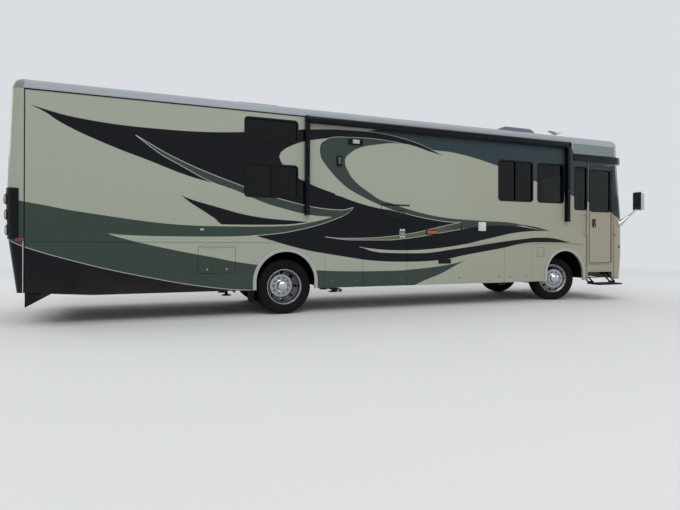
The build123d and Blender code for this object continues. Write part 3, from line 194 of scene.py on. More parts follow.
# The painted pattern: leaves between a top and a bottom edge, painted in this order.
# u is mm ahead of the rear axle and carries on round the ends, z is mm above the ground.
# Each row: name, colour, top edge (u, z), bottom edge (u, z), pale lines (edge, from u, to u, width)
LEAVES = (
    (
        "upper_slate", "slate_blue",
        ((1500, 3262), (1800, 3350), (2000, 3450), (6350, 3450), (6420, 3215), (9400, 3215)),
        ((1500, 3250), (1800, 3200), (2200, 3150), (2800, 3030), (3400, 2997), (4400, 2810), (5350, 2551),
         (6900, 2143), (7500, 1960), (7800, 1810), (8100, 1750), (9400, 1700)),
        (),
    ),
    (
        "high_black", "black",
        ((-3800, 3200), (-3200, 3070), (-1800, 3000), (1400, 3260), (2400, 3160), (3200, 2908)),
        ((-3800, 3200), (-3600, 3112), (-3400, 2980), (-2800, 2711), (-2200, 2498), (-1600, 2287),
         (-1000, 2136), (-400, 1940), (860, 1780), (920, 2300), (1300, 2800), (1700, 3000), (2200, 3095),
         (2800, 2991), (3200, 2908)),
        (("top", 1000, 3240, 11),),
    ),
    (
        "crescent_pale", "base",
        ((-128, 2700), (-100, 2770), (0, 2852), (600, 3053), (1800, 3135), (2100, 3110)),
        ((-128, 2700), (-100, 2614), (0, 2480), (400, 2265), (800, 2129), (1600, 1900), (2100, 1820)),
        (),
    ),
    (
        "crescent_slate", "slate",
        ((596, 2869), (620, 2980), (800, 3090), (1200, 3128), (1600, 3140), (2000, 3118), (2200, 3095),
         (2600, 2900), (3200, 2400), (4000, 1900), (4800, 1670), (5300, 1563)),
        ((596, 2869), (620, 2716), (700, 2614), (800, 2498), (1000, 2308), (1200, 2172), (2400, 1740),
         (3000, 1600), (3530, 1520), (4200, 1570), (4800, 1580), (5000, 1600), (5300, 1563)),
        (("top", 700, 2200, 11),),
    ),
    (
        "oval", "base",
        ((1070, 2700), (1100, 2784), (1300, 2929), (1700, 3039), (2200, 3095), (3000, 2950), (3200, 2908),
         (3400, 2990), (3600, 2971), (5300, 2560)),
        ((1070, 2700), (1080, 2614), (1130, 2529), (1200, 2413), (1600, 2121), (1800, 2015), (2000, 1968),
         (2200, 1908), (3000, 1747), (4000, 1684), (4800, 1655), (5300, 1565)),
        (),
    ),
    (
        "front_black", "black",
        ((-497, 1345), (-200, 1420), (600, 1590), (835, 1660), (865, 2090), (1000, 2061), (1200, 1997),
         (1600, 1900), (2200, 1808), (2600, 1730), (3200, 1653), (3400, 1645), (3530, 1648), (3560, 1513),
         (4000, 1577), (4600, 1603), (5860, 1487)),
        ((-497, 1335), (400, 1097), (800, 1029), (1300, 951), (1360, 1162), (1600, 1129), (2200, 1097),
         (3200, 1156), (4400, 1369), (4800, 1446), (5600, 1500), (5860, 1487)),
        (("top", 2000, 3530, 14),),
    ),
    (
        "front_ribbon", "black",
        ((1000, 1150), (1350, 1155), (1600, 1092), (1800, 1061), (2600, 1046), (3400, 1126), (5000, 1324),
         (5600, 1366), (6770, 1165)),
        ((1000, 998), (1600, 913), (2400, 883), (3200, 925), (3600, 996), (4400, 1117), (5400, 1261),
         (6300, 1253), (6600, 1190), (6770, 1165)),
        (),
    ),
    (
        "low_slate", "slate",
        ((-5440, 1400), (-2770, 1400), (-2760, 1359), (-2600, 1304), (-1800, 1109), (-1200, 991),
         (-800, 908), (800, 740), (2000, 721), (2400, 738), (3400, 845), (3780, 939)),
        ((-5440, 200), (2300, 200), (2400, 400), (2600, 480), (2800, 556), (3000, 616), (3600, 879),
         (3780, 939)),
        (),
    ),
    (
        "tail_black", "black",
        ((-5440, 1642), (-4500, 1360), (-4000, 1225), (-3800, 1143), (-3400, 1007), (-2400, 735),
         (-1000, 472), (-400, 430)),
        ((-5440, 0), (-400, 0)),
        (("top", -5440, -400, 14),),
    ),
    (
        "waist_slate", "slate",
        ((-5440, 2086), (-3600, 1764), (-3200, 1690), (-1200, 1498), (0, 1520), (400, 1580), (1000, 1750),
         (1253, 1874)),
        ((-5440, 1642), (-4500, 1360), (-2760, 1359), (-2600, 1342), (-1600, 1323), (-500, 1352), (200, 1449),
         (1000, 1696), (1143, 1772), (1253, 1874)),
        (("bottom", -600, 1240, 14),),
    ),
    (
        "blade_slate", "slate",
        ((-2381, 2874), (-1800, 2563), (-800, 2185), (-200, 1998), (1000, 1820), (1253, 1874)),
        ((-2381, 2874), (-2000, 2597), (-1800, 2491), (-1200, 2192), (-800, 2075), (-600, 1985),
         (-200, 1849), (820, 1692), (1000, 1700), (1143, 1772), (1253, 1874)),
        (("top", -2381, 1240, 15), ("bottom", -2381, -1000, 15)),
    ),
    (
        "blade_black", "black",
        ((-1718, 1985), (-1600, 1934), (-1200, 1822), (-600, 1679), (420, 1593)),
        ((-1718, 1985), (-1600, 1885), (-1400, 1755), (-1200, 1625), (-1058, 1524), (0, 1541), (420, 1593)),
        (),
    ),
    (
        "olive", "olive",
        ((701, 1338), (1000, 1316), (2200, 1383), (3200, 1582), (3530, 1648)),
        ((701, 1338), (1200, 1287), (2000, 1291), (3530, 1508)),
        (("top", 701, 3530, 13), ("bottom", 701, 3530, 13)),
    ),
    (
        "sliver", "black",
        ((4720, 1657), (5400, 1583), (5860, 1488)),
        ((4720, 1655), (4900, 1636), (5500, 1530), (5860, 1488)),
        (),
    ),
)
PAINT = {
    name: linear(colour)
    for name, colour in (
        ("base", (160, 166, 152)),
        ("base_front", (158, 152, 134)),
        ("slate", (54, 66, 60)),
        ("slate_blue", (46, 60, 66)),
        ("black", (5, 6, 13)),
        ("olive", (88, 98, 72)),
        ("line", (176, 180, 174)),
        ("silver", (122, 132, 131)),
        ("flare", (168, 172, 170)),
        ("dirt", (128, 120, 104)),
        ("lining", (150, 140, 122)),
    )
}
# A painted edge blends over 1 / EDGE metres. Curves run from 0 to SPAN metres, and where their slope
# changes by more than CORNER, they have a sharp corner.
EDGE = 250.0
SPAN = 4.0
CORNER = 1.5
# The wheel arches' flares
ARCHES = (REAR_AXLE, FRONT_AXLE + 0.03)
ARCH_CENTRE = 0.57
FLARE_OUTER = 0.570
# The silver band over the cab starts here, up from the ground and ahead of the rear axle
CAB_BAND = (3.2, 6.42)


def edge_curve(u, points):
    """The height of one edge at u, as a smooth curve through its points."""
    start = points[0][0] / 1000
    length = points[-1][0] / 1000 - start
    node = add(u.tree, "FloatCurve", 1.0, u.ramp(start, start + length))
    curve = node.mapping.curves[0]
    places = [((x / 1000 - start) / length, z / 1000 / SPAN) for x, z in points]
    curve.points[0].location = places[0]
    curve.points[1].location = places[-1]
    for place in places[1:-1]:
        curve.points.new(*place)
    slopes = [(b[1] - a[1]) / (b[0] - a[0]) for a, b in zip(points[:-1], points[1:])]
    for n, point in enumerate(sorted(curve.points, key=lambda p: p.location[0])):
        turn = abs(slopes[n] - slopes[n - 1]) if 0 < n < len(slopes) else 0
        point.handle_type = "VECTOR" if turn > CORNER else "AUTO_CLAMPED"
    node.mapping.update()
    return Number(u.tree, node.outputs[0]) * SPAN


def within(*distances):
    """1 where every distance is above nought, with a soft edge."""
    least = distances[0]
    for distance in distances[1:]:
        least = least.math("MINIMUM", distance)
    return least.math("MULTIPLY", EDGE, clamp=True)


def between(value, low, high):
    """How far a value lies inside a range, below nought outside it."""
    return (value - low).math("MINIMUM", high - value)


def base_shade(look, u):
    """The base colour, cooler at the rear and warmer at the front."""
    return look.mix(u.ramp(3.0, 8.0), PAINT["base"], PAINT["base_front"])


def painted_leaf(look, colour, u, z, row):
    """The pattern so far with one leaf and its pale lines laid over it."""
    _, paint, top_points, bottom_points, lines = row
    edges = {"top": edge_curve(u, top_points), "bottom": edge_curve(u, bottom_points)}
    start = max(top_points[0][0], bottom_points[0][0]) / 1000
    end = min(top_points[-1][0], bottom_points[-1][0]) / 1000
    fill = PAINT[paint]
    if paint == "base":
        fill = base_shade(look, u)
    if paint == "olive":
        fill = look.mix(u.ramp(2.9, 3.5), fill, PAINT["slate"])
    leaf = within(between(z, edges["bottom"], edges["top"]), between(u, start, end))
    colour = look.mix(leaf, colour, fill)
    for edge, first, last, width in lines:
        band = width / 2000 - abs(z - edges[edge])
        line = within(band, between(u, first / 1000, last / 1000))
        colour = look.mix(line, colour, PAINT["line"])
    return colour


def arch_reach(x, z):
    """The distance from the nearer arch's centre, straight down below it."""
    up = (z - ARCH_CENTRE).math("MAXIMUM", 0.0)
    rear, front = [((x - centre) * (x - centre) + up * up).math("SQRT") for centre in ARCHES]
    return rear.math("MINIMUM", front)


def body_paint():
    """The clear-coated paint with its stripes, a lining colour inside and road dust low down."""
    look = Look("body_paint")
    x, y, z = look.split(look.coords)
    across = abs(y)
    wrap = (HALF - across).math("MAXIMUM", 0.0).math("SMOOTH_MIN", 0.5, 0.5)
    u = (x - REAR_AXLE) + x.math("SIGN") * wrap
    colour = base_shade(look, u)
    for row in LEAVES:
        colour = painted_leaf(look, colour, u, z, row)
    colour = look.mix(within(z - EAVES), colour, PAINT["silver"])
    colour = look.mix(within(z - CAB_BAND[0], u - CAB_BAND[1]), colour, PAINT["silver"])
    flare = within(across - (HALF + 0.001), FLARE_OUTER - arch_reach(x, z))
    colour = look.mix(flare, colour, PAINT["flare"])
    mottle = look.noise(2.5, 6.0, 0.6)
    dirt = z.ramp(0.35, 0.9, 0.08, 0.0) * mottle.ramp(0.35, 0.7)
    colour = look.mix(dirt, colour, PAINT["dirt"])
    # A face whose normal points towards the middle of the coach is inside it
    normal_x, normal_y, _ = look.split(add(look.tree, "TexCoord").outputs["Normal"])
    end_x = x - x.math("MAXIMUM", REAR_SEAM).math("MINIMUM", FRONT_SEAM)
    outwards = normal_x * end_x + normal_y * y
    inside = (-0.02 - outwards).math("MULTIPLY", 40.0, clamp=True)
    colour = look.mix(inside, colour, PAINT["lining"])
    gloss = mottle.ramp(0.3, 0.75, 0.16, 0.26) + dirt * 0.5
    ripple = look.noise(1.3, 2.0) + look.noise(300.0) * 0.004
    return look.done(
        colour, gloss, (ripple, 0.12, 0.01), metallic=0.0, specular_ior_level=0.16, coat_weight=0.10,
        coat_roughness=0.04,
    )


def finish(name, colour, roughness, metallic, grain, bump, spread, dust, specular):
    """A finish with mottled colour, uneven gloss, fine grain and, low down, some dust."""
    look = Look(name)
    mottle = look.noise(3.0, 5.0, 0.6)
    fine = look.noise(grain, 3.0, 0.6)
    base = linear(colour)
    shade = look.mix(mottle.ramp(0.3, 0.7), scaled(base, 1 - spread), scaled(base, 1 + spread))
    if dust > 0:
        low = look.split(look.coords)[2].ramp(0.0, 1.2, dust, 0.0)
        shade = look.mix(low * fine, shade, linear((122, 112, 98)))
    gloss = mottle.ramp(0.3, 0.7, max(0.02, roughness - 0.06), min(1.0, roughness + 0.08))
    return look.done(shade, gloss, (fine, bump, 0.002), metallic=metallic, specular_ior_level=specular)


def tinted_glass(name, tint):
    """Thick glass with a tint, very slightly wavy."""
    look = Look(name)
    haze = look.noise(4.0, 4.0)
    base = linear(tint)
    shade = look.mix(haze.ramp(0.4, 0.7), base, scaled(base, 0.85))
    gloss = haze.ramp(0.3, 0.8, 0.02, 0.07)
    wave = look.noise(1.5, 1.0)
    return look.done(shade, gloss, (wave, 0.06, 0.004), transmission_weight=1.0, ior=1.33)


def lens(name, colour):
    """A moulded plastic lens with 180 fine ribs a metre."""
    look = Look(name)
    wave = (look.split(look.coords)[2] * (180.0 * math.tau)).math("SINE")
    base = linear(colour)
    shade = look.mix(look.noise(25.0), base, scaled(base, 0.6))
    return look.done(
        shade, 0.12, (wave, 0.25, 0.001), transmission_weight=0.25, ior=1.5, coat_weight=0.6,
        coat_roughness=0.05,
    )


def fabric(name, colour, threads):
    """Woven cloth with crossing threads and a soft sheen."""
    look = Look(name)
    x, y, z = look.split(look.coords)
    weave = ((x + z) * threads).math("SINE") * ((y + z) * threads).math("SINE")
    worn = look.noise(8.0, 5.0, 0.6)
    base = linear(colour)
    shade = look.mix((weave + worn).ramp(-0.5, 1.5), scaled(base, 0.6), scaled(base, 1.15))
    return look.done(shade, 0.85, (weave, 0.3, 0.001), sheen_weight=0.3, sheen_roughness=0.5)


def ribbed(name, colour, roughness, pitch, axis, depth, metallic=0.0):
    """A finish with fine parallel ribs across one axis."""
    look = Look(name)
    wave = (look.split(look.coords)[axis] * (math.tau / pitch)).math("SINE")
    mottle = look.noise(6.0, 5.0, 0.6)
    base = linear(colour)
    shade = look.mix((wave + mottle).ramp(-0.8, 1.4), scaled(base, 0.7), base)
    gloss = mottle.ramp(0.3, 0.7, roughness - 0.05, roughness + 0.1)
    return look.done(shade, gloss, (wave, depth, 0.002), metallic=metallic)


# Painted shade on the rims, darker rings round the nuts and in the hollows: radius of its ring, how far it
# spreads, weight
RIM_PAINTED_SHADE = ((0.143, 0.030, 0.75), (0.204, 0.012, 0.55), (0.262, 0.014, 0.45))
DRUM_RADIUS = 0.2045


def rim_metal(name, centre, outwards, drum):
    """Polished aluminium with turned rings and rings of painted shade, and a dark iron brake drum deep inside
    the wheel.
    """
    look = Look(name)
    offset, _ = look.vector("SUBTRACT", look.coords, centre)
    _, depth = look.vector("DOT_PRODUCT", offset, outwards)
    _, length = look.vector("LENGTH", offset)
    radius = (length * length - depth * depth).math("MAXIMUM", 0.0).math("SQRT")
    inner = within(drum - depth, DRUM_RADIUS - radius)
    mottle = look.noise(5.0, 5.0, 0.6)
    metal = look.mix(mottle.ramp(0.3, 0.7), linear((160, 162, 164)), linear((178, 180, 182)))
    # Painted shade: the metal darkens in rings round the nuts and in the hollows of the rim
    for ring, reach, weight in RIM_PAINTED_SHADE:
        shade_ring = abs(radius - ring).ramp(reach * 0.4, reach, weight, 0.0)
        metal = look.mix(shade_ring * mottle.ramp(0.2, 0.6, 0.6, 1.0), metal, linear((52, 50, 48)))
    iron = look.mix(mottle, linear((24, 22, 20)), linear((46, 42, 38)))
    gloss = mottle.ramp(0.3, 0.7, 0.16, 0.26) + inner * 0.5
    turned = (radius * 2400.0).math("SINE")
    return look.done(look.mix(inner, metal, iron), gloss, (turned, 0.05, 0.0005), metallic=1.0 - inner)


# Key, name, colour, roughness, metallic, grain, bump, spread of colour, dust, specular level.
# Dark finishes have a low specular level, so that the pale studio doesn't grey them.
FINISHES = (
    ("roof", "roof_skin", (146, 155, 162), 0.42, 0.0, 180, 0.20, 0.06, 0.0, 0.5),
    ("shell", "moulded_shell", (96, 104, 116), 0.45, 0.0, 220, 0.25, 0.07, 0.0, 0.5),
    ("brow", "brow_paint", (9, 14, 19), 0.25, 0.0, 300, 0.04, 0.08, 0.0, 0.14),
    ("navy", "dark_enamel", (7, 9, 18), 0.30, 0.0, 300, 0.08, 0.20, 0.0, 0.14),
    ("trim", "black_trim", (12, 13, 14), 0.50, 0.0, 500, 0.30, 0.20, 0.0, 0.14),
    ("seal", "rubber_seal", (18, 18, 18), 0.72, 0.0, 260, 0.35, 0.25, 0.2, 0.14),
    ("tyre", "tyre_rubber", (13, 13, 14), 0.78, 0.0, 240, 0.50, 0.25, 0.05, 0.14),
    ("chrome", "chrome", (196, 198, 202), 0.10, 1.0, 90, 0.03, 0.04, 0.0, 0.5),
    ("alloy", "polished_aluminium", (172, 174, 176), 0.24, 1.0, 400, 0.12, 0.07, 0.0, 0.5),
    ("steel", "black_steel", (18, 19, 20), 0.55, 0.0, 160, 0.30, 0.25, 0.12, 0.14),
    ("housing", "arch_liner", (7, 7, 8), 0.70, 0.0, 160, 0.30, 0.25, 0.05, 0.14),
    ("grey_steel", "worn_steel", (92, 92, 94), 0.50, 0.8, 140, 0.30, 0.20, 0.3, 0.5),
    ("casting", "cast_iron", (44, 42, 40), 0.70, 0.3, 120, 0.60, 0.25, 0.35, 0.5),
    ("mirror", "mirror_face", (150, 158, 152), 0.03, 1.0, 6, 0.01, 0.02, 0.0, 0.5),
    ("white", "white_plastic", (205, 206, 202), 0.40, 0.0, 300, 0.10, 0.05, 0.0, 0.5),
    ("plastic", "grey_plastic", (62, 64, 66), 0.55, 0.0, 700, 0.50, 0.10, 0.0, 0.5),
    ("dash", "dash_vinyl", (66, 62, 58), 0.62, 0.0, 450, 0.60, 0.10, 0.0, 0.5),
    ("piping", "seat_piping", (70, 56, 44), 0.60, 0.0, 300, 0.20, 0.10, 0.0, 0.5),
    ("dial", "dial_face", (14, 14, 16), 0.35, 0.0, 200, 0.05, 0.10, 0.0, 0.5),
    # Painted shade: this black finish is put where slots, gaps and hollows are dark from shade
    ("dark", "dark_void", (8, 8, 8), 0.80, 0.0, 80, 0.20, 0.20, 0.0, 0.5),
)
MATERIALS = {key: finish(*values) for key, *values in FINISHES}
MATERIALS.update({
    "paint": body_paint(),
    "aluminium": ribbed("brushed_aluminium", (168, 170, 172), 0.36, 0.0013, 0, 0.12, 1.0),
    "wood": ribbed("cabin_floor", (112, 84, 58), 0.4, 0.09, 1, 0.2),
    "grip": ribbed("grip_tape", (28, 28, 28), 0.85, 0.012, 0, 0.9),
    "glass": tinted_glass("tinted_glass", (34, 38, 41)),
    "clear": tinted_glass("windshield_glass", (178, 190, 186)),
    "lamp_glass": tinted_glass("lamp_glass", (236, 240, 242)),
    "red": lens("red_lens", (150, 14, 12)),
    "amber": lens("amber_lens", (214, 96, 10)),
    "frost": lens("frosted_lens", (214, 214, 208)),
    "cloth": fabric("seat_cloth", (124, 110, 90), 900.0),
    "awning_cloth": fabric("awning_cloth", (24, 27, 36), 700.0),
})

# Which finish each node of the frame wears
NODE_FINISH = {
    "paint": (
        "side_walls", "lower_walls", "front_cap", "rear_cap", "entry_door", "hood", "access_door",
        "fuel_door", "hinge_rails",
    ) + tuple(name for name in nodes if name.startswith("bay_door")),
    "roof": ("roof",),
    "shell": ("roof_units",),
    "brow": ("brow",),
    "navy": ("awning",),
    "trim": ("window_frames", "tail_lamps", "grille"),
    "glass": ("window_glass", "entry_door_glass"),
    "clear": ("windshield",),
    "lamp_glass": ("headlamps",),
    "seal": ("rear_flap",),
    "housing": ("wheel_housings",),
    "chrome": ("mirrors",),
    "alloy": ("ladder_and_handle",),
    "aluminium": ("storage_bays",),
    "steel": (
        "chassis_frame", "leaf_springs", "hitch", "entry_step_frame",
        "entry_step_front_links", "entry_step_rear_links", "entry_step_tread", "tie_rod",
    ),
    "casting": ("front_axle", "rear_axle", "knuckle_right", "knuckle_left", "engine"),
    "grey_steel": ("fuel_tank",),
    "wood": ("floor",),
    "dash": ("dashboard",),
    "cloth": ("seats",),
    "tyre": ("front_tyre_right", "front_tyre_left", "rear_tyres_right", "rear_tyres_left"),
}


def wear(name, material):
    """One node of the frame gets one material."""
    nodes[name].data.materials.clear()
    nodes[name].data.materials.append(material)


def dress_nodes():
    """Each node of the frame gets its finish."""
    for finish_name, names in NODE_FINISH.items():
        for name in names:
            wear(name, MATERIALS[finish_name])


# Helpers for meshes


def neighbours(points, n, closed):
    """The points before and after one point of a run."""
    before = points[n - 1] if n > 0 or closed else points[n]
    after = points[(n + 1) % len(points)] if n < len(points) - 1 or closed else points[n]
    return before, after


class Piece:
    """One mesh built up from simple forms, each with its finish."""

    def __init__(self, name, body="coach"):
        self.name = name
        self.body = body
        self.mesh = bmesh.new()
        self.finishes = []

    def paint(self, faces, finish_name):
        """Faces get a finish, whose slot is made when it is first used."""
        if finish_name not in self.finishes:
            self.finishes.append(finish_name)
        for face in faces:
            face.material_index = self.finishes.index(finish_name)

    def bevel(self, edges, width, segments):
        """Edges rounded over."""
        bmesh.ops.bevel(
            self.mesh, geom=edges, offset=width, segments=segments, profile=0.5, affect="EDGES",
            clamp_overlap=True, material=-1,
        )

    def ring(self, points):
        """A new vertex at each point."""
        return [self.mesh.verts.new(point) for point in points]

    def skin(self, rings, finish_name, closed=False, around=True, caps=False):
        """Faces between each ring of points and the next, with faces over the ends if they are capped."""
        faces = []
        count = max(len(ring) for ring in rings)
        for lower, upper in zip(rings, rings[1:] + (rings[:1] if closed else [])):
            for n in range(count if around else count - 1):
                corners = dict.fromkeys((
                    lower[n % len(lower)], lower[(n + 1) % len(lower)],
                    upper[(n + 1) % len(upper)], upper[n % len(upper)],
                ))
                if len(corners) > 2:
                    faces.append(self.mesh.faces.new(list(corners)))
        if caps:
            faces.append(self.mesh.faces.new(rings[0][::-1]))
            faces.append(self.mesh.faces.new(rings[-1]))
        self.paint(faces, finish_name)
        return faces

    def box(self, low, high, finish_name, bevel=0.0, place=Matrix()):
        """A block between two corners with rounded edges."""
        size = [b - a for a, b in zip(low, high)]
        middle = [(a + b) / 2 for a, b in zip(low, high)]
        matrix = place @ Matrix.Translation(middle) @ Matrix.Diagonal((*size, 1))
        verts = bmesh.ops.create_cube(self.mesh, size=1.0, matrix=matrix)["verts"]
        self.paint({face for vert in verts for face in vert.link_faces}, finish_name)
        if bevel > 0:
            self.bevel(list(dict.fromkeys(edge for vert in verts for edge in vert.link_edges)), bevel, 3)

    def lathe(self, profile, place, finish_name, segments=48, closed=False):
        """A turned form: (radius, height) points about the place's own Z."""
        turns = [math.tau * n / segments for n in range(segments)]
        rings = []
        for radius, height in profile:
            around = turns if radius > 1e-6 else turns[:1]
            places = [Vector((radius * math.cos(turn), radius * math.sin(turn), height)) for turn in around]
            rings.append(self.ring(place @ point for point in places))
        self.skin(rings, finish_name, closed)
        return rings

    def tube(self, points, radius, finish_name, sides=12, closed=False):
        """A round bar that follows a run of points."""
        path = [Vector(point) for point in points]
        turns = [math.tau * k / sides for k in range(sides)]
        rings = []
        side = None
        for n, point in enumerate(path):
            before, after = neighbours(path, n, closed)
            along = (after - before).normalized()
            side = side or along.orthogonal()
            side = (side - along * side.dot(along)).normalized()
            up = along.cross(side)
            rings.append(self.ring(point + radius * (side * math.cos(t) + up * math.sin(t)) for t in turns))
        self.skin(rings, finish_name, closed, caps=not closed)

    def prism(self, outline, place, depth, finish_name, bevel=0.0):
        """A flat outline in the place's X and Y made solid along its Z."""
        rings = [self.ring(place @ Vector((x, y, z)) for x, y in outline) for z in (0, depth)]
        faces = self.skin(rings, finish_name, caps=True)
        if bevel > 0:
            self.bevel(list(faces[-1].edges), bevel, 2)

    def slab(self, place, width, height, radius, low, high, finish_name, bevel):
        """A plate with round corners between two heights over its place."""
        foot = place @ Matrix.Translation((0, 0, low))
        self.prism(rounded_outline(width, height, radius), foot, high - low, finish_name, bevel)

    def strip(self, found, width, rise, finish_name, closed=True):
        """A low moulding along a surface's points and normals, with its top rounded over."""
        foot = -0.002 / rise
        section = ((-0.5, foot), (-0.5, 0.55), (-0.3, 1.0), (0.3, 1.0), (0.5, 0.55), (0.5, foot))
        points = [point for point, _ in found]
        rings = []
        for n, (point, normal) in enumerate(found):
            before, after = neighbours(points, n, closed)
            across = (after - before).cross(normal).normalized()
            rings.append(self.ring(point + across * a * width + normal * b * rise for a, b in section))
        self.skin(rings, finish_name, closed, around=False, caps=not closed)

    def mirror(self):
        """Everything so far again on the left side, with its faces still looking outwards."""
        geometry = self.mesh.verts[:] + self.mesh.edges[:] + self.mesh.faces[:]
        made = bmesh.ops.duplicate(self.mesh, geom=geometry)["geom"]
        for vert in [part for part in made if isinstance(part, bmesh.types.BMVert)]:
            vert.co.y = -vert.co.y
        faces = [part for part in made if isinstance(part, bmesh.types.BMFace)]
        bmesh.ops.reverse_faces(self.mesh, faces=faces)

    def done(self, sharp=38.0):
        """The finished object, riding on its body, with its edges sharp above an angle."""
        bmesh.ops.recalc_face_normals(self.mesh, faces=self.mesh.faces[:])
        for face in self.mesh.faces:
            face.smooth = True
        for edge in self.mesh.edges:
            if len(edge.link_faces) == 2 and edge.calc_face_angle(0) > math.radians(sharp):
                edge.smooth = False
        data = bpy.data.meshes.new(self.name)
        self.mesh.to_mesh(data)
        self.mesh.free()
        for finish_name in self.finishes:
            data.materials.append(MATERIALS[finish_name])
        obj = bpy.data.objects.new(self.name, data)
        bpy.context.scene.collection.objects.link(obj)
        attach(obj, self.body)
        return obj


def facing(origin, outwards):
    """A place whose Z points outwards and whose Y points up."""
    out = Vector(outwards).normalized()
    up = Vector((0, 0, 1))
    across = up.cross(out).normalized()
    up = out.cross(across)
    return Matrix.Translation(origin) @ Matrix((across, up, out)).transposed().to_4x4()


def side_place(x, z, proud=0.0):
    """A place on the right wall that faces outwards; its X points forwards."""
    return facing((x, -HALF - proud, z), (0, -1, 0))


def shifted(place, x, y, z):
    """A place moved along its own axes."""
    return place @ Matrix.Translation((x, y, z))


def rounded_outline(width, height, radius, steps=6):
    """A rounded rectangle about the origin."""
    points = []
    for cx, cy, start in ((1, 1, 0), (-1, 1, 90), (-1, -1, 180), (1, -1, 270)):
        for n in range(steps + 1):
            turn = math.radians(start + 90 * n / steps)
            points.append((
                cx * (width / 2 - radius) + radius * math.cos(turn),
                cy * (height / 2 - radius) + radius * math.sin(turn),
            ))
    return points


def tree_of(*names):
    """The nodes' surfaces, to find a point on them by a straight line."""
    verts = []
    faces = []
    for name in names:
        data = nodes[name].data
        first = len(verts)
        verts += [v.co.copy() for v in data.vertices]
        faces += [[first + i for i in p.vertices] for p in data.polygons]
    return BVHTree.FromPolygons(verts, faces)


def finder(tree, way):
    """A function that finds an end's point and outward normal, from how far across and how high it is."""
    def find(y, z):
        point, normal, _, _ = tree.ray_cast(Vector((-9 * way, y, z)), Vector((way, 0, 0)))
        return point, normal
    return find


on_front = finder(tree_of("front_cap", "windshield", "hood", "headlamps", "grille"), -1)
on_rear = finder(tree_of("rear_cap"), 1)


def surface_ring(find, centre_y, centre_z, width, height, radius):
    """Points and normals along a rounded rectangle laid on a curved end."""
    outline = rounded_outline(width, height, radius)
    dense = []
    for (x0, y0), (x1, y1) in zip(outline, outline[1:] + outline[:1]):
        count = max(1, int(math.hypot(x1 - x0, y1 - y0) / (width + height) * 32))
        dense += [(x0 + (x1 - x0) * k / count, y0 + (y1 - y0) * k / count) for k in range(count)]
    return [find(centre_y + x, centre_z + y) for x, y in dense]


# The wheels


AXLE_HEIGHT = PIVOTS["steer_left"].z
# The front wheels are turned to the right by STEER and stand TRAIL outside their king pins
STEER = math.radians(17.5)
KINGPIN = 0.8
TRAIL = 0.15
# The middle of a rear pair, and how far each of its tyres lies from there
REAR_TRACK = 0.935
TWIN_OFFSET = 0.145


def steered(way):
    """A front tyre's middle in a list and its outward direction; way is -1 on the right, 1 on the left."""
    out = Vector((way * math.sin(STEER), way * math.cos(STEER), 0))
    return [Vector((FRONT_AXLE, way * KINGPIN, AXLE_HEIGHT)) + out * TRAIL], out


def twins(way):
    """A rear pair's middles from the outer tyre inwards, and its outward direction."""
    reaches = (REAR_TRACK + TWIN_OFFSET, REAR_TRACK - TWIN_OFFSET)
    return [Vector((REAR_AXLE, way * reach, AXLE_HEIGHT)) for reach in reaches], Vector((0, way, 0))


# Each row: name, body, tyres' node, rims' node, tyres' middles, outward direction
WHEELS = (
    ("front_right", "front_wheel_right", "front_tyre_right", "front_rim_right", *steered(-1)),
    ("front_left", "front_wheel_left", "front_tyre_left", "front_rim_left", *steered(1)),
    ("rear_right", "rear_wheels_right", "rear_tyres_right", "rear_rims_right", *twins(-1)),
    ("rear_left", "rear_wheels_left", "rear_tyres_left", "rear_rims_left", *twins(1)),
)
# How far outside the first tyre's middle: drum, disc, hub's end, valve's foot and tip
WHEEL_REACHES = {
    "front": (0.128, 0.145, 0.205, 0.070, 0.115),
    "rear": (-0.158, -0.133, 0.015, -0.030, 0.030),
}
# Half a tyre's section from the bead to the middle of the tread: radius, distance out, lug
TYRE_SECTION = (
    (0.2863, 0.083, 0), (0.296, 0.092, 0), (0.306, 0.0955, 0), (0.312, 0.100, 0), (0.318, 0.1005, 0),
    (0.322, 0.104, 0), (0.340, 0.1120, 0), (0.360, 0.1160, 0), (0.384, 0.1172, 0), (0.388, 0.1160, 0),
    (0.392, 0.1168, 0), (0.412, 0.1148, 0), (0.430, 0.1105, 0), (0.438, 0.1110, 0), (0.446, 0.1085, 1),
    (0.462, 0.1000, 1), (0.4675, 0.0935, 1), (0.4700, 0.0850, 1), (0.4715, 0.0700, 1), (0.4615, 0.0685, 0),
    (0.4615, 0.0605, 0), (0.4720, 0.0590, 0), (0.4723, 0.0300, 0), (0.4620, 0.0285, 0), (0.4620, 0.0205, 0),
    (0.4725, 0.0190, 0),
)
TYRE_FOOT = ((0.2925, -0.05, 0), (0.2925, 0.05, 0))
# Notches in the shoulders: how many, steps for each, depth, and how far each leans to the middle
LUGS = 60
LUG_STEPS = 4
LUG_DEPTH = 0.007
LUG_LEAN = 0.03
# Wheel nuts: how many, the radius they stand on, and a nut's flange, body and domed end.
# Each row: sides, points (radius, height over the disc)
NUTS = 10
NUT_CIRCLE = 0.143
NUT = (
    (24, ((0.024, 0.0), (0.024, 0.004), (0.018, 0.006), (0, 0.006))),
    (6, ((0.0185, 0.005), (0.0185, 0.0274), (0.0148, 0.033), (0, 0.033))),
    (16, ((0.013875, 0.033), (0.0111, 0.039), (0, 0.041))),
)
# Each bead on a rim: radius, distance out, thickness
RIM_BEADS = ((0.301, 0.099, 0.0035), (0.292, 0.088, 0.002))
# A ring of painted shade behind a front wheel's disc: (radius, distance out) points
HOLE_SHADE_RING = ((0.194, -0.020), (0.262, -0.020), (0.262, -0.026), (0.194, -0.026))


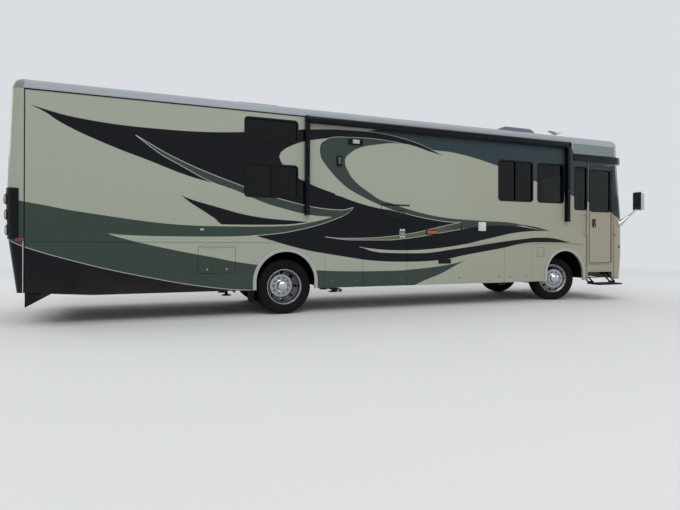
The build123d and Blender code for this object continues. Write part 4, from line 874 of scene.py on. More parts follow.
def tyre(piece, centre, outwards):
    """A tyre with ribs on its walls, grooves round its tread and notched shoulders."""
    place = facing(centre, outwards)
    section = [*TYRE_SECTION, *((r, -out, lug) for r, out, lug in reversed(TYRE_SECTION)), *TYRE_FOOT]
    profile = [(radius, height) for radius, height, _ in section]
    rings = piece.lathe(profile, place, "tyre", LUGS * LUG_STEPS, closed=True)
    for ring, (_, height, lug) in zip(rings, section):
        axis_point = place @ Vector((0, 0, height))
        for vert in ring[::LUG_STEPS] if lug else ():
            vert.co += (axis_point - vert.co).normalized() * LUG_DEPTH + (centre - axis_point) * LUG_LEAN


def tyres():
    """Each wheel's tyres, in place of the plain solids."""
    for name, body, tyres_node, _, centres, outwards in WHEELS:
        piece = Piece("tyres_" + name, body)
        for centre in centres:
            tyre(piece, centre, outwards)
        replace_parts(piece.done(sharp=32.0), tyres_node)


def rims():
    """Each wheel's rims in polished metal round a dark drum."""
    for name, _, _, rims_node, centres, outwards in WHEELS:
        drum = WHEEL_REACHES[name.split("_")[0]][0]
        wear(rims_node, rim_metal("rim_" + name, centres[0], outwards, drum))


def wheel_dressing():
    """Nuts, hub covers, rim beads and valves, and a black ring of painted shade inside each front wheel,
    behind its disc.
    """
    for name, body, _, _, centres, outwards in WHEELS:
        end = name.split("_")[0]
        _, disc, hub_end, valve_foot, valve_tip = WHEEL_REACHES[end]
        piece = Piece("wheel_dressing_" + name, body)
        place = facing(centres[0], outwards)
        for n in range(NUTS):
            turn = Matrix.Rotation(math.tau * (n + 0.5) / NUTS, 4, "Z")
            for sides, profile in NUT:
                piece.lathe(profile, shifted(place @ turn, NUT_CIRCLE, 0, disc), "chrome", sides)
        hub_cover = (
            (0.108, disc), (0.106, disc + 0.012), (0.0925, disc + 0.018),
            (0.0895, hub_end - 0.012), (0.084, hub_end + 0.004), (0.062, hub_end + 0.018),
            (0.034, hub_end + 0.026), (0, hub_end + 0.028),
        )
        piece.lathe(hub_cover, place, "chrome", 64)
        turns = [math.tau * n / 10 for n in range(10)]
        for radius, height, wall in RIM_BEADS:
            bead = [(radius + wall * math.cos(turn), height + wall * math.sin(turn)) for turn in turns]
            piece.lathe(bead, place, "alloy", 96, closed=True)
        # Painted shade: a black ring behind the front disc, where the wheel's inside is in shade
        if end == "front":
            piece.lathe(HOLE_SHADE_RING, place, "dark", 64, closed=True)
        valve = [place @ Vector(point) for point in ((0.262, 0, valve_foot), (0.252, 0, valve_tip))]
        piece.tube(valve, 0.0045, "trim", 10)
        piece.done()


# Side trim


# Gutter and seam covers: x from and to, z from and to, how far proud, finish, bevel
MOULDINGS = (
    (REAR_SEAM, FRONT_AXLE + 0.2, EAVES - 0.011, EAVES + 0.007, 0.009, "trim", 0.003),
    (REAR_SEAM + 0.001, REAR_SEAM + 0.015, 0.50, EAVES, 0.004, "trim", 0.0015),
    (REAR_SEAM - 0.0105, REAR_SEAM - 0.0015, 0.50, 1.24, 0.004, "white", 0.0015),
    (FRONT_AXLE + 0.6365, FRONT_AXLE + 0.6435, SKIRT, 3.05, 0.004, "trim", 0.0015),
    (FRONT_SEAM + 0.012, FRONT_SEAM + 0.020, 0.46, 3.0, 0.004, "trim", 0.0015),
)
# The belt moulding's three lengths, from and to
BELT_SPANS = (
    (REAR_SEAM + 0.02, REAR_AXLE + 0.70), (REAR_AXLE + 2.932, REAR_AXLE + 3.356),
    (REAR_AXLE + 5.30, FRONT_AXLE + 0.63),
)
BELT_HEIGHTS = (1.236, 1.268)
# Side windows: rear end, width, foot
WINDOWS = (
    (REAR_AXLE - 0.72, 0.93, 1.99), (FRONT_AXLE - 1.747, 0.90, 2.10), (FRONT_AXLE - 0.741, 0.736, 2.10),
    (FRONT_AXLE + 0.282, 0.38, 1.97),
)
# What stands on the right wall: how far ahead of the rear axle its middle is and how high,
# width, height, corner radius, foot over the wall, thickness, finish, bevel
SIDE_PLATES = (
    # The porch light and its pale lens
    (1.275, 3.05, 0.27, 0.10, 0.012, 0.0, 0.03, "trim", 0.006),
    (1.275, 3.05, 0.13, 0.07, 0.010, 0.03, 0.012, "frost", 0.005),
    # The awning's small bracket
    (0.965, 2.69, 0.10, 0.18, 0.010, 0.0, 0.022, "navy", 0.005),
    (0.965, 2.69, 0.05, 0.12, 0.008, 0.022, 0.010, "grey_steel", 0.003),
    # The vent door with its drip bar and slots; the black plate just wider than the door is painted shade in
    # the gap round it, and the slots are black strips of painted shade
    (2.0875, 1.79, 0.575, 0.28, 0.018, 0.0, 0.003, "dark", 0.001),
    (2.0875, 1.79, 0.567, 0.272, 0.015, 0.0, 0.006, "paint", 0.002),
    (2.0875, 1.943, 0.60, 0.018, 0.006, 0.0, 0.016, "trim", 0.004),
    *((2.0875, 1.715 + 0.0165 * n, 0.40, 0.006, 0.002, 0.005, 0.0035, "dark", 0.0) for n in range(9)),
    # Two outlets' covers
    (2.20, 1.415, 0.045, 0.16, 0.008, 0.0, 0.014, "white", 0.003),
    (2.20, 1.440, 0.030, 0.055, 0.006, 0.014, 0.004, "plastic", 0.002),
    (2.20, 1.385, 0.030, 0.040, 0.006, 0.014, 0.004, "plastic", 0.002),
    (2.26, 1.415, 0.045, 0.16, 0.008, 0.0, 0.014, "white", 0.003),
    (2.26, 1.440, 0.030, 0.055, 0.006, 0.014, 0.004, "plastic", 0.002),
    (2.26, 1.385, 0.030, 0.040, 0.006, 0.014, 0.004, "plastic", 0.002),
    # A marker lamp
    (2.865, 1.445, 0.25, 0.085, 0.02, 0.0, 0.014, "trim", 0.004),
    (2.865, 1.445, 0.215, 0.055, 0.015, 0.014, 0.012, "amber", 0.004),
    # The cover of an outside socket
    (4.025, 1.572, 0.17, 0.175, 0.012, 0.0, 0.022, "white", 0.005),
    (4.025, 1.565, 0.13, 0.11, 0.010, 0.022, 0.004, "white", 0.002),
    # A low vent, its slots black strips of painted shade
    (3.16, 0.885, 0.28, 0.09, 0.01, 0.0, 0.006, "trim", 0.002),
    *((3.16, 0.851 + 0.0136 * n, 0.24, 0.005, 0.002, 0.006, 0.0035, "dark", 0.0) for n in range(6)),
    # Small lamps and a cap
    (-1.39, 1.44, 0.06, 0.03, 0.006, 0.0, 0.012, "frost", 0.003),
    (-3.895, 1.262, 0.11, 0.042, 0.012, 0.0, 0.016, "red", 0.005),
    (7.66, 1.44, 0.07, 0.07, 0.02, 0.0, 0.014, "amber", 0.004),
    (7.80, 1.17, 0.045, 0.045, 0.022, 0.0, 0.008, "trim", 0.003),
)


def wall_bar(piece, start, end, low, high, proud, finish_name, bevel):
    """A bar on the right wall, let 2 mm into it."""
    piece.box((start, -HALF - proud, low), (end, -HALF + 0.002, high), finish_name, bevel)


def side_mouldings():
    """Seam covers, the eaves gutter and the belt moulding."""
    piece = Piece("side_mouldings")
    for row in MOULDINGS:
        wall_bar(piece, *row)
    piece.mirror()
    piece.done()
    belt = Piece("belt_moulding")
    for start, end in BELT_SPANS:
        wall_bar(belt, start, end, *BELT_HEIGHTS, 0.011, "paint", 0.005)
    belt.mirror()
    belt.done()


def window_details():
    """Two weep slots in the foot of each side window's frame, as black boxes of painted shade."""
    piece = Piece("window_slots")
    for start, width, foot in WINDOWS:
        for x in (start + width * 0.25, start + width * 0.75):
            low = (x - 0.018, -HALF - 0.0085, foot + 0.008)
            high = (x + 0.018, -HALF - 0.004, foot + 0.014)
            piece.box(low, high, "dark", 0.001)
    piece.done()


def bay_hardware():
    """Round pop latches and their key barrels on the storage and service doors."""
    bays = [body for body in frame["bodies"] if body.startswith("bay_door")]
    for body in bays + ["access_door", "fuel_door"]:
        low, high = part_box(body)
        side = -1 if low[1] < 0 else 1
        wide = high[0] - low[0] > 0.3
        size = 0.015 if wide else 0.011
        ring = "alloy" if body == "access_door" else "plastic"
        z = low[2] + (0.115 if body in bays else 0.06)
        piece = Piece("latches_" + body, body)
        for x in (low[0] + 0.14, high[0] - 0.14) if wide else (low[0] + 0.04,):
            place = facing((x, side * HALF, z), (0, side, 0))
            cup = ((size, -0.002), (size, 0.002), (size * 0.85, 0.0045), (size * 0.5, 0.005), (0, 0.005))
            piece.lathe(cup, place, ring, 32)
            piece.lathe(((size * 0.4, 0.004), (size * 0.36, 0.0075), (0, 0.0075)), place, "alloy", 20)
            # Painted shade: the key's slot is a thin black bar
            piece.box((-0.001, -size * 0.25, 0.0074), (0.001, size * 0.25, 0.0082), "dark", place=place)
        piece.done()


def side_fittings():
    """Lamps, outlets, vents and covers on the right wall."""
    piece = Piece("side_fittings")
    for x, z, width, height, radius, foot, rise, finish_name, bevel in SIDE_PLATES:
        place = side_place(REAR_AXLE + x, z)
        piece.slab(place, width, height, radius, foot - 0.002, foot + rise, finish_name, bevel)
    piece.done()


# The awning: its arms' width and their reach from the wall, the roller's middle, and the roll's radius
ARM_WIDTH = 0.075
ARM_FACE = -HALF - 0.095
ROLLER = (-HALF - 0.068, EAVES - 0.062)
ROLL_RADIUS = 0.0625


def awning_details():
    """End caps, folds of the rolled cloth, and the arms' channels, rivets and feet."""
    low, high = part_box("awning")
    piece = Piece("awning_details")
    for x, way in ((low[0] + 0.004, -1), (high[0] - 0.004, 1)):
        place = Matrix.Translation((x, *ROLLER)) @ Matrix.Rotation(math.radians(90 * way), 4, "Y")
        cap = ((0.052, -0.004), (0.052, 0.000), (0.044, 0.0035), (0.014, 0.0038), (0, 0.0038))
        piece.lathe(cap, place, "trim", 40)
    for turn in (math.radians(200), math.radians(228), math.radians(256)):
        y = ROLLER[0] + ROLL_RADIUS * math.cos(turn)
        z = ROLLER[1] + ROLL_RADIUS * math.sin(turn)
        piece.tube(((low[0] + 0.08, y, z), (high[0] - 0.08, y, z)), 0.0022, "awning_cloth", 8)
    for start in (low[0], high[0] - ARM_WIDTH):
        for x in (start + 0.012, start + ARM_WIDTH - 0.012):
            piece.box((x - 0.003, ARM_FACE - 0.003, 1.74), (x + 0.003, ARM_FACE + 0.002, 3.26), "navy", 0.001)
        for z in (1.80, 2.35, 2.90):
            place = facing((start + ARM_WIDTH / 2, ARM_FACE, z), (0, -1, 0))
            rivet = ((0.009, -0.001), (0.009, 0.003), (0.006, 0.005), (0, 0.005))
            piece.lathe(rivet, place, "grey_steel", 16)
        foot_low = (start + 0.004, ARM_FACE - 0.006, 1.712)
        foot_high = (start + ARM_WIDTH - 0.004, ARM_FACE + 0.012, 1.765)
        piece.box(foot_low, foot_high, "trim", 0.006)
    piece.done()


def mud_flaps():
    """Mud flaps behind the rear wheels, each hung from a steel bar."""
    piece = Piece("mud_flaps")
    x = REAR_AXLE - 0.548
    for y0, y1 in ((-1.22, -0.70), (0.70, 1.22)):
        piece.box((x, y0, 0.20), (x + 0.008, y1, 0.60), "seal", 0.003)
        piece.box((x - 0.005, y0 + 0.02, 0.56), (x, y1 - 0.02, 0.59), "grey_steel", 0.002)
    piece.done()


# The front


# Mouldings round the windshield, the headlamps and the grille: middle across and up,
# width, height, corner radius, then the moulding's width, rise and finish
FRONT_RINGS = (
    (0, 2.43, 2.26, 1.20, 0.12, 0.034, 0.007, "seal"),
    (-0.885, 0.90, 0.49, 0.22, 0.05, 0.012, 0.004, "chrome"),
    (0.885, 0.90, 0.49, 0.22, 0.05, 0.012, 0.004, "chrome"),
    (0, 0.65, 1.04, 0.18, 0.03, 0.016, 0.006, "chrome"),
)


def clearance_lamp(piece, point, normal, finish_name):
    """A small lamp on a black foot."""
    place = facing(point, normal)
    piece.slab(place, 0.11, 0.036, 0.014, -0.002, 0.010, "trim", 0.003)
    piece.slab(place, 0.092, 0.024, 0.010, 0.008, 0.018, finish_name, 0.004)


def front_details():
    """Seals, bumper lines, clearance lamps, fog lamps and latch covers of the front."""
    piece = Piece("front_details")
    for *ring, width, rise, finish_name in FRONT_RINGS:
        piece.strip(surface_ring(on_front, *ring), width, rise, finish_name)
    for z, width in ((0.765, 0.010), (0.545, 0.008)):
        piece.strip([on_front(-1.12 + 0.08 * n, z) for n in range(29)], width, 0.004, "trim", closed=False)
    piece.strip([on_front(0, 1.84 + 0.08 * n) for n in range(15)], 0.022, 0.004, "seal", closed=False)
    for y in (-0.95, -0.55, 0, 0.55, 0.95):
        clearance_lamp(piece, *on_front(y, 3.33), "amber")
    for y in (-0.88, 0.88):
        place = facing(*on_front(y, 0.645))
        bezel = ((0.056, -0.002), (0.055, 0.004), (0.050, 0.007), (0.044, 0.003), (0.043, -0.002))
        piece.lathe(bezel, place, "chrome", 40)
        piece.lathe(((0.044, 0.001), (0.036, 0.006), (0.018, 0.009), (0, 0.010)), place, "frost", 40)
    for y in (-0.30, 0.30):
        piece.slab(facing(*on_front(y, 1.16)), 0.12, 0.045, 0.018, -0.001, 0.009, "trim", 0.003)
    piece.done()


# Where the wipers' middles lie, how long a blade is, and its parts
WIPER_HEIGHT = 1.90
BLADE_LENGTH = 0.62
BLADE_STEPS = 12


def wipers():
    """Two wipers that lie along the foot of the windshield."""
    piece = Piece("wipers")
    for pivot_y, tip_y in ((-0.95, -0.12), (0.30, 1.02)):
        foot, out = on_front(pivot_y, 1.79)
        cap = ((0.030, -0.002), (0.028, 0.012), (0.018, 0.026), (0, 0.028))
        piece.lathe(cap, facing(foot, out), "trim", 28)
        middle, middle_out = on_front((pivot_y + tip_y) / 2, WIPER_HEIGHT)
        elbow = middle + middle_out * 0.040
        arm_middle = (foot + out * 0.036 + elbow) / 2 + out * 0.01
        piece.tube((foot + out * 0.022, arm_middle, elbow), 0.008, "trim", 10)
        blade = []
        for n in range(BLADE_STEPS + 1):
            share = n / BLADE_STEPS
            y = pivot_y * 0.25 + tip_y * 0.75 + (share - 0.5) * BLADE_LENGTH
            point, normal = on_front(y, WIPER_HEIGHT + 0.012 * math.sin(math.pi * share))
            blade.append(point + normal * 0.022)
        piece.tube(blade, 0.006, "trim", 8)
        piece.tube([point - Vector((0.010, 0, 0)) for point in blade], 0.004, "seal", 6)
        piece.tube((elbow, blade[BLADE_STEPS // 2]), 0.007, "trim", 8)
    piece.done()


# Headlamps: height of their middle, half the height of their box, and each bowl's place, finish, radius
LAMP_HEIGHT = 0.90
LAMP_HALF = 0.103
BOWLS = ((0.76, "chrome", 0.085), (0.93, "chrome", 0.085), (1.06, "amber", 0.048))


def headlamp_bowls():
    """Bowls, rims and bulbs behind the headlamps' glass, in a box and between bars of black painted shade."""
    piece = Piece("headlamp_bowls")
    for side in (-1, 1):
        for y, finish_name, r in BOWLS:
            point, _ = on_front(side * y, LAMP_HEIGHT)
            place = facing((point.x - 0.055, side * y, LAMP_HEIGHT), (1, 0, 0))
            bowl = ((r, 0.018), (r * 0.98, 0.0), (r * 0.75, -0.030), (r * 0.4, -0.048), (0, -0.054))
            rim = ((r * 1.06, 0.016), (r * 1.06, 0.021), (r * 0.97, 0.021), (r * 0.97, 0.016))
            bulb = ((0, 0.006), (0.013, 0.0), (0.015, -0.030), (0, -0.045))
            piece.lathe(bowl, place, finish_name, 40)
            piece.lathe(rim, place, "chrome", 40, closed=True)
            piece.lathe(bulb, place, "frost", 20)
        # Painted shade: a black box behind the bowls and black bars above and below them
        y0, y1 = sorted((side * 0.645, side * 1.125))
        x = on_front(side * 1.10, LAMP_HEIGHT)[0].x - 0.115
        piece.box((x, y0, 0.795), (x + 0.012, y1, 1.005), "dark", 0.004)
        line = [on_front(side * (0.66 + 0.045 * n), LAMP_HEIGHT)[0] for n in range(11)]
        for z in (LAMP_HEIGHT - LAMP_HALF, LAMP_HEIGHT + LAMP_HALF):
            for point, after in zip(line, line[1:]):
                y0, y1 = sorted((point.y, after.y))
                piece.box((point.x - 0.16, y0, z - 0.003), (point.x - 0.040, y1, z + 0.003), "dark")
    piece.done()


def mirror_details():
    """Two mirror faces on the back of each mirror head, in black frames."""
    piece = Piece("mirror_glass")
    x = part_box("mirrors")[1][0] - 0.095
    for z, height in ((2.245, 0.26), (2.075, 0.085)):
        place = facing((x, -HALF - 0.25, z), (-1, 0, 0))
        piece.slab(place, 0.195, height, 0.02, -0.001, 0.003, "trim", 0.001)
        piece.slab(place, 0.180, height - 0.016, 0.016, 0.002, 0.005, "mirror", 0.001)
    piece.mirror()
    piece.done()


# The rear


def rear_details():
    """Panel lines, clearance lamps, camera, plate recess and plate lamp of the rear."""
    piece = Piece("rear_details")
    piece.strip(surface_ring(on_rear, 0, 2.35, 1.80, 1.50, 0.08), 0.010, 0.003, "trim")
    for z, reach in ((1.22, 1.10), (0.78, 1.06)):
        line = [on_rear(reach * (n / 13 - 1), z) for n in range(27)]
        piece.strip(line, 0.012, 0.005, "trim", closed=False)
    for y in (-0.95, -0.20, 0.0, 0.20, 0.95):
        clearance_lamp(piece, *on_rear(y, 3.36), "red")
    camera_place = facing(*on_rear(0, 3.18))
    piece.slab(camera_place, 0.14, 0.07, 0.02, -0.003, 0.042, "trim", 0.012)
    piece.lathe(((0.018, 0.040), (0.018, 0.048), (0.012, 0.050), (0, 0.046)), camera_place, "glass", 28)
    plate_place = facing(*on_rear(-0.45, 0.96))
    piece.slab(plate_place, 0.33, 0.19, 0.012, -0.002, 0.006, "trim", 0.003)
    piece.slab(shifted(plate_place, 0, 0.115, 0), 0.10, 0.03, 0.008, -0.002, 0.028, "chrome", 0.006)
    piece.done()


# The round lamps of a corner housing: height and finish, and the way they look
TAIL_LAMPS = ((1.40, "frost"), (1.62, "amber"), (1.84, "red"))
TAIL_TURN = math.radians(30)


def tail_lamp_faces():
    """Black bezels and ribbed faces on the round lamps of the corner housings."""
    piece = Piece("tail_lamp_faces")
    tail = tree_of("tail_lamps")
    out = Vector((-math.cos(TAIL_TURN), -math.sin(TAIL_TURN), 0))
    for z, finish_name in TAIL_LAMPS:
        start = Vector((REAR_SEAM - 0.22, -HALF + 0.135, z)) + out * 0.5
        place = facing(tail.ray_cast(start, -out)[0], out)
        bezel = ((0.074, -0.030), (0.074, -0.002), (0.070, 0.003), (0.064, 0.003), (0.062, -0.002))
        face = ((0.063, -0.014), (0.062, -0.002), (0.050, 0.004), (0.030, 0.007), (0, 0.008))
        piece.lathe(bezel, place, "trim", 56)
        piece.lathe(face, place, finish_name, 56)
    piece.mirror()
    piece.done()


# The roof


# Air conditioners (x, height), vents (x) and standing pipes (x, y)
AIR_CONDITIONERS = ((REAR_AXLE - 0.18, 0.24), (FRONT_AXLE - 0.33, 0.32))
ROOF_VENTS = (REAR_AXLE - 2.53, REAR_AXLE + 1.57, FRONT_AXLE - 2.30)
ROOF_PIPES = ((REAR_AXLE - 1.4, 0.75), (FRONT_AXLE - 3.2, -0.7), (REAR_AXLE + 0.9, 0.62))
PIPE = (
    (0.075, 0.0), (0.072, 0.006), (0.036, 0.012), (0.034, 0.09), (0.046, 0.095), (0.046, 0.115), (0, 0.12),
)


def air_conditioner_details(piece, x, height):
    """A base seal, louvres on both sides and at the rear as black strips of painted shade, and two ribs on
    the top.
    """
    top = ROOF + height
    piece.box((x - 0.50, -0.37, ROOF), (x + 0.50, 0.37, ROOF + 0.022), "seal", 0.006)
    for y0, y1 in ((-0.3625, -0.355), (0.355, 0.3625)):
        for n in range(9):
            z = ROOF + 0.05 + n * (height - 0.13) / 9
            piece.box((x - 0.40, y0, z), (x + 0.05, y1, z + 0.008), "dark", 0.001)
    for n in range(14):
        y = -0.28 + n * 0.043
        piece.box((x - 0.4925, y - 0.012, ROOF + 0.05), (x - 0.485, y + 0.012, top - 0.08), "dark", 0.002)
    for y in (-0.2, 0.2):
        piece.box((x - 0.30, y - 0.008, top - 0.006), (x + 0.20, y + 0.008, top), "shell", 0.003)


def roof_details():
    """The air conditioners' louvres and seals, the vents' seals and hinges, and pipes with their caps."""
    piece = Piece("roof_details")
    for x, height in AIR_CONDITIONERS:
        air_conditioner_details(piece, x, height)
    for x in ROOF_VENTS:
        piece.box((x - 0.235, -0.235, ROOF), (x + 0.235, 0.235, ROOF + 0.018), "white", 0.006)
        hinge_x, hinge_z = x - 0.222, ROOF + 0.03
        for y in (-0.12, 0.12):
            piece.tube(((hinge_x, y - 0.04, hinge_z), (hinge_x, y + 0.04, hinge_z)), 0.010, "aluminium", 12)
    for x, y in ROOF_PIPES:
        piece.lathe(PIPE, Matrix.Translation((x, y, ROOF)), "white", 32)
    piece.done()


# The antenna's place, its foot, and one wing's outline from the middle outwards, in metres
ANTENNA = (4.43, -0.80)
ANTENNA_FOOT = ((0.085, 0.0), (0.083, 0.010), (0.050, 0.018), (0.040, 0.055), (0.030, 0.065), (0, 0.065))
ANTENNA_WING = (
    (-0.03, 0.07), (-0.03, -0.07), (-0.10, -0.066), (-0.21, -0.030), (-0.225, 0.030), (-0.13, 0.060),
)


def tv_antenna():
    """The winged television antenna near the roof's front, with its foot and mast."""
    x, y = ANTENNA
    place = Matrix.Translation((x, y, ROOF))
    piece = Piece("tv_antenna")
    piece.lathe(ANTENNA_FOOT, place, "white", 32)
    piece.tube(((x, y, ROOF + 0.05), (x, y, ROOF + 0.135)), 0.016, "alloy", 16)
    piece.box((-0.055, -0.065, 0.120), (0.055, 0.065, 0.168), "white", 0.014, place)
    for side in (-1, 1):
        outline = [(-side * a, b) for a, b in ANTENNA_WING]
        tilt = Matrix.Translation((0, 0, 0.138)) @ Matrix.Rotation(math.radians(-11 * side), 4, "Y")
        piece.prism(outline, place @ tilt, 0.018, "white", 0.004)
    piece.done()


# The entry


# The entry door's foot, top and width, and its front edge
DOOR_LOW = 0.78
DOOR_HIGH = 2.98
DOOR_WIDTH = 0.71
DOOR_FRONT = FRONT_AXLE + 1.406


def flat_ring(place, width, height, radius):
    """Points and normals along a rounded rectangle on the right wall."""
    out = Vector((0, -1, 0))
    return [(place @ Vector((x, y, 0)), out) for x, y in rounded_outline(width, height, radius)]


def entry_door_trim():
    """The door's moulding, the trim round its window, and the latch paddle with its lock."""
    low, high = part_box("entry_door")
    x = (low[0] + high[0] - 0.011) / 2
    piece = Piece("entry_door_trim", "entry_door")
    door = side_place(x, (DOOR_LOW + DOOR_HIGH) / 2)
    ring = flat_ring(door, DOOR_WIDTH - 0.06, DOOR_HIGH - DOOR_LOW - 0.06, 0.05)
    piece.strip(ring, 0.014, 0.004, "trim")
    piece.strip(flat_ring(side_place(x, 2.42), 0.61, 0.92, 0.065), 0.034, 0.008, "trim")
    latch = side_place(x - DOOR_WIDTH / 2 + 0.165, 1.695, 0.008)
    piece.slab(latch, 0.100, 0.180, 0.018, -0.001, 0.005, "trim", 0.002)
    piece.slab(shifted(latch, 0.005, 0.01, 0), 0.060, 0.090, 0.012, 0.004, 0.018, "plastic", 0.005)
    lock = ((0.014, 0.004), (0.013, 0.010), (0.006, 0.011), (0, 0.011))
    piece.lathe(lock, shifted(latch, 0, -0.065, 0), "chrome", 24)
    piece.done()


def step_grip():
    """The grip tape on the step's tread and the pale strip along its edge."""
    low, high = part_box("entry_step_tread")
    top = low[2] + 0.030
    piece = Piece("step_grip", "step_tread")
    tape_low = (low[0] + 0.03, low[1] + 0.02, top)
    tape_high = (high[0] - 0.03, high[1] - 0.06, top + 0.0025)
    piece.box(tape_low, tape_high, "grip", 0.001)
    edge_low = (low[0] + 0.01, low[1], top - 0.022)
    edge_high = (high[0] - 0.01, low[1] + 0.006, top - 0.004)
    piece.box(edge_low, edge_high, "frost", 0.001)
    piece.done()


def door_frame():
    """The pale frame on the wall, behind the entry door and over it, with a dark line round it."""
    low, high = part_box("entry_door")
    rear = low[0] - 0.005
    front = DOOR_FRONT + 0.006
    foot = low[2] - 0.03
    top = high[2] + 0.030
    piece = Piece("door_frame")
    wall_bar(piece, rear - 0.030, rear, foot, top, 0.006, "paint", 0.003)
    wall_bar(piece, rear, front, high[2] + 0.006, top, 0.006, "paint", 0.003)
    wall_bar(piece, rear - 0.034, rear - 0.030, foot, top + 0.004, 0.004, "trim", 0.0)
    wall_bar(piece, rear - 0.034, front, top, top + 0.004, 0.004, "trim", 0.0)
    piece.done()


# Below the floor


# Turns an upright form so that its axis points to the rear
REARWARDS = Matrix.Rotation(math.radians(-90), 4, "Y")
GEARBOX = (
    (0, 0.0), (0.21, 0.0), (0.21, 0.10), (0.17, 0.16), (0.16, 0.42), (0.11, 0.50), (0.085, 0.66),
    (0.05, 0.68), (0, 0.68),
)
SHAFTS = (((3.93, 0, 0.79), (2.62, 0, 0.60)), ((2.54, 0, 0.588), (-1.58, 0, 0.49)))
# The pipe ahead of the silencer and the one behind it, which ends in the tip
EXHAUST = (
    ((4.60, 0.24, 0.72), (4.30, 0.24, 0.665), (3.90, 0.23, 0.60), (3.50, 0.22, 0.54), (3.30, 0.22, 0.52)),
    (
        (2.22, 0.22, 0.52), (-0.55, 0.22, 0.50), (-0.70, 0.20, 0.46), (-0.80, 0.12, 0.405),
        (-0.88, -0.02, 0.385), (-0.93, -0.25, 0.385), (-0.95, -0.60, 0.385), (-0.955, -1.215, 0.385),
    ),
)
SILENCER = (
    (0.03, 0.0), (0.095, 0.03), (0.108, 0.045), (0.108, 0.40), (0.111, 0.41), (0.108, 0.42), (0.108, 1.035),
    (0.095, 1.05), (0.03, 1.08),
)
EXHAUST_TIP = (
    (0.031, -0.06), (0.036, -0.05), (0.036, 0.012), (0.0335, 0.012), (0.0335, -0.03), (0, -0.03),
)
# The jacks' places; the left one that would be in the silencer's way is left out
JACKS = (
    (REAR_AXLE - 0.86, -0.285), (REAR_AXLE - 0.86, 0.285), (REAR_AXLE + 1.22, -0.285),
    (REAR_AXLE + 1.22, 0.285), (FRONT_AXLE - 0.95, -0.285),
)
JACK = (
    (0, 0.262), (0.085, 0.262), (0.088, 0.268), (0.085, 0.276), (0.030, 0.290), (0.024, 0.330),
    (0.024, 0.400), (0.040, 0.402), (0.044, 0.410), (0.044, 0.655), (0.030, 0.662), (0, 0.662),
)
# How far from the middle the frame's rails have their inner faces, which the jacks' brackets reach
RAIL = 0.357


def driveline():
    """The gearbox and the propeller shaft with its joints and centre bearing."""
    piece = Piece("driveline")
    piece.lathe(GEARBOX, Matrix.Translation((4.648, 0, 0.80)) @ REARWARDS, "casting", 40)
    for ends in SHAFTS:
        piece.tube(ends, 0.042, "grey_steel", 32)
        for place in ends:
            piece.box([c - 0.038 for c in place], [c + 0.038 for c in place], "casting", 0.012)
    piece.box((2.555, -0.335, 0.648), (2.605, 0.335, 0.672), "steel", 0.006)
    piece.box((2.56, -0.05, 0.54), (2.60, 0.05, 0.655), "steel", 0.01)
    piece.done()


def rounded_path(points, steps=5):
    """A run of points with its corners rounded over."""
    path = [Vector(points[0])]
    for before, point, after in zip(points[:-2], points[1:-1], points[2:]):
        before, point, after = Vector(before), Vector(point), Vector(after)
        reach = min((before - point).length, (after - point).length) * 0.45
        start = point + (before - point).normalized() * reach
        end = point + (after - point).normalized() * reach
        for n in range(steps + 1):
            share = n / steps
            path.append(start * (1 - share) ** 2 + point * (2 * share * (1 - share)) + end * share ** 2)
    path.append(Vector(points[-1]))
    return path


def exhaust():
    """The exhaust pipe with its silencer and a tail that leaves ahead of the right rear wheel."""
    piece = Piece("exhaust")
    for points in EXHAUST:
        piece.tube(rounded_path(points), 0.031, "grey_steel", 20)
    piece.lathe(SILENCER, Matrix.Translation((3.31, 0.22, 0.52)) @ REARWARDS, "grey_steel", 40)
    tip = Matrix.Translation(EXHAUST[-1][-1]) @ Matrix.Rotation(math.radians(90), 4, "X")
    piece.lathe(EXHAUST_TIP, tip, "chrome", 32)
    piece.done()


def jacks():
    """Levelling jacks with their feet drawn up, on brackets inside the rails."""
    piece = Piece("levelling_jacks")
    for x, y in JACKS:
        piece.lathe(JACK, Matrix.Translation((x, y, 0)), "steel", 32)
        y0, y1 = sorted((y, math.copysign(RAIL, y)))
        piece.box((x - 0.05, y0, 0.655), (x + 0.05, y1, 0.70), "steel", 0.006)
    piece.done()


# The cab


# Each seat: name, place of its cushion's rear edge, and how far left its middle is
SEATS = (("driver", 4.56, 0.66), ("passenger", 4.02, -0.66))
SEAT_BASE = FLOOR_TOP + 0.29
# Each soft part: low corner, high corner, corner radius, how far it may swell, size of its mesh
CUSHION = ((0.018, -0.248, SEAT_BASE + 0.026), (0.522, 0.248, SEAT_BASE + 0.140), 0.05, 0.024, 0.012)
BACKREST = ((-0.040, -0.238, SEAT_BASE + 0.140), (0.070, 0.238, SEAT_BASE + 0.615), 0.045, 0.022, 0.012)
HEADREST = ((-0.036, -0.135, SEAT_BASE + 0.640), (0.062, 0.135, SEAT_BASE + 0.812), 0.04, 0.016, 0.010)
# Seams: axis across the seam, where it lies, axis and way that the sewn face looks
CUSHION_SEAMS = ((1, -0.15, 2, 1), (1, 0.15, 2, 1), (0, 0.20, 2, 1), (0, 0.36, 2, 1))
BACK_SEAMS = (
    (1, -0.14, 0, 1), (1, 0.14, 0, 1), (2, SEAT_BASE + 0.27, 0, 1), (2, SEAT_BASE + 0.39, 0, 1),
    (2, SEAT_BASE + 0.51, 0, 1),
)
SEAT_POST = (
    (0.139, 0.0), (0.139, 0.012), (0.125, 0.020), (0.085, 0.030), (0.075, 0.20), (0.085, 0.235),
    (0.135, 0.250), (0.138, 0.288), (0, 0.288),
)
SWELL_FRAMES = 20


def evaluated(obj):
    """The object's mesh with its modifiers applied, and the modifiers gone."""
    graph = bpy.context.evaluated_depsgraph_get()
    graph.update()
    data = bpy.data.meshes.new_from_object(obj.evaluated_get(graph))
    obj.modifiers.clear()
    obj.data = data


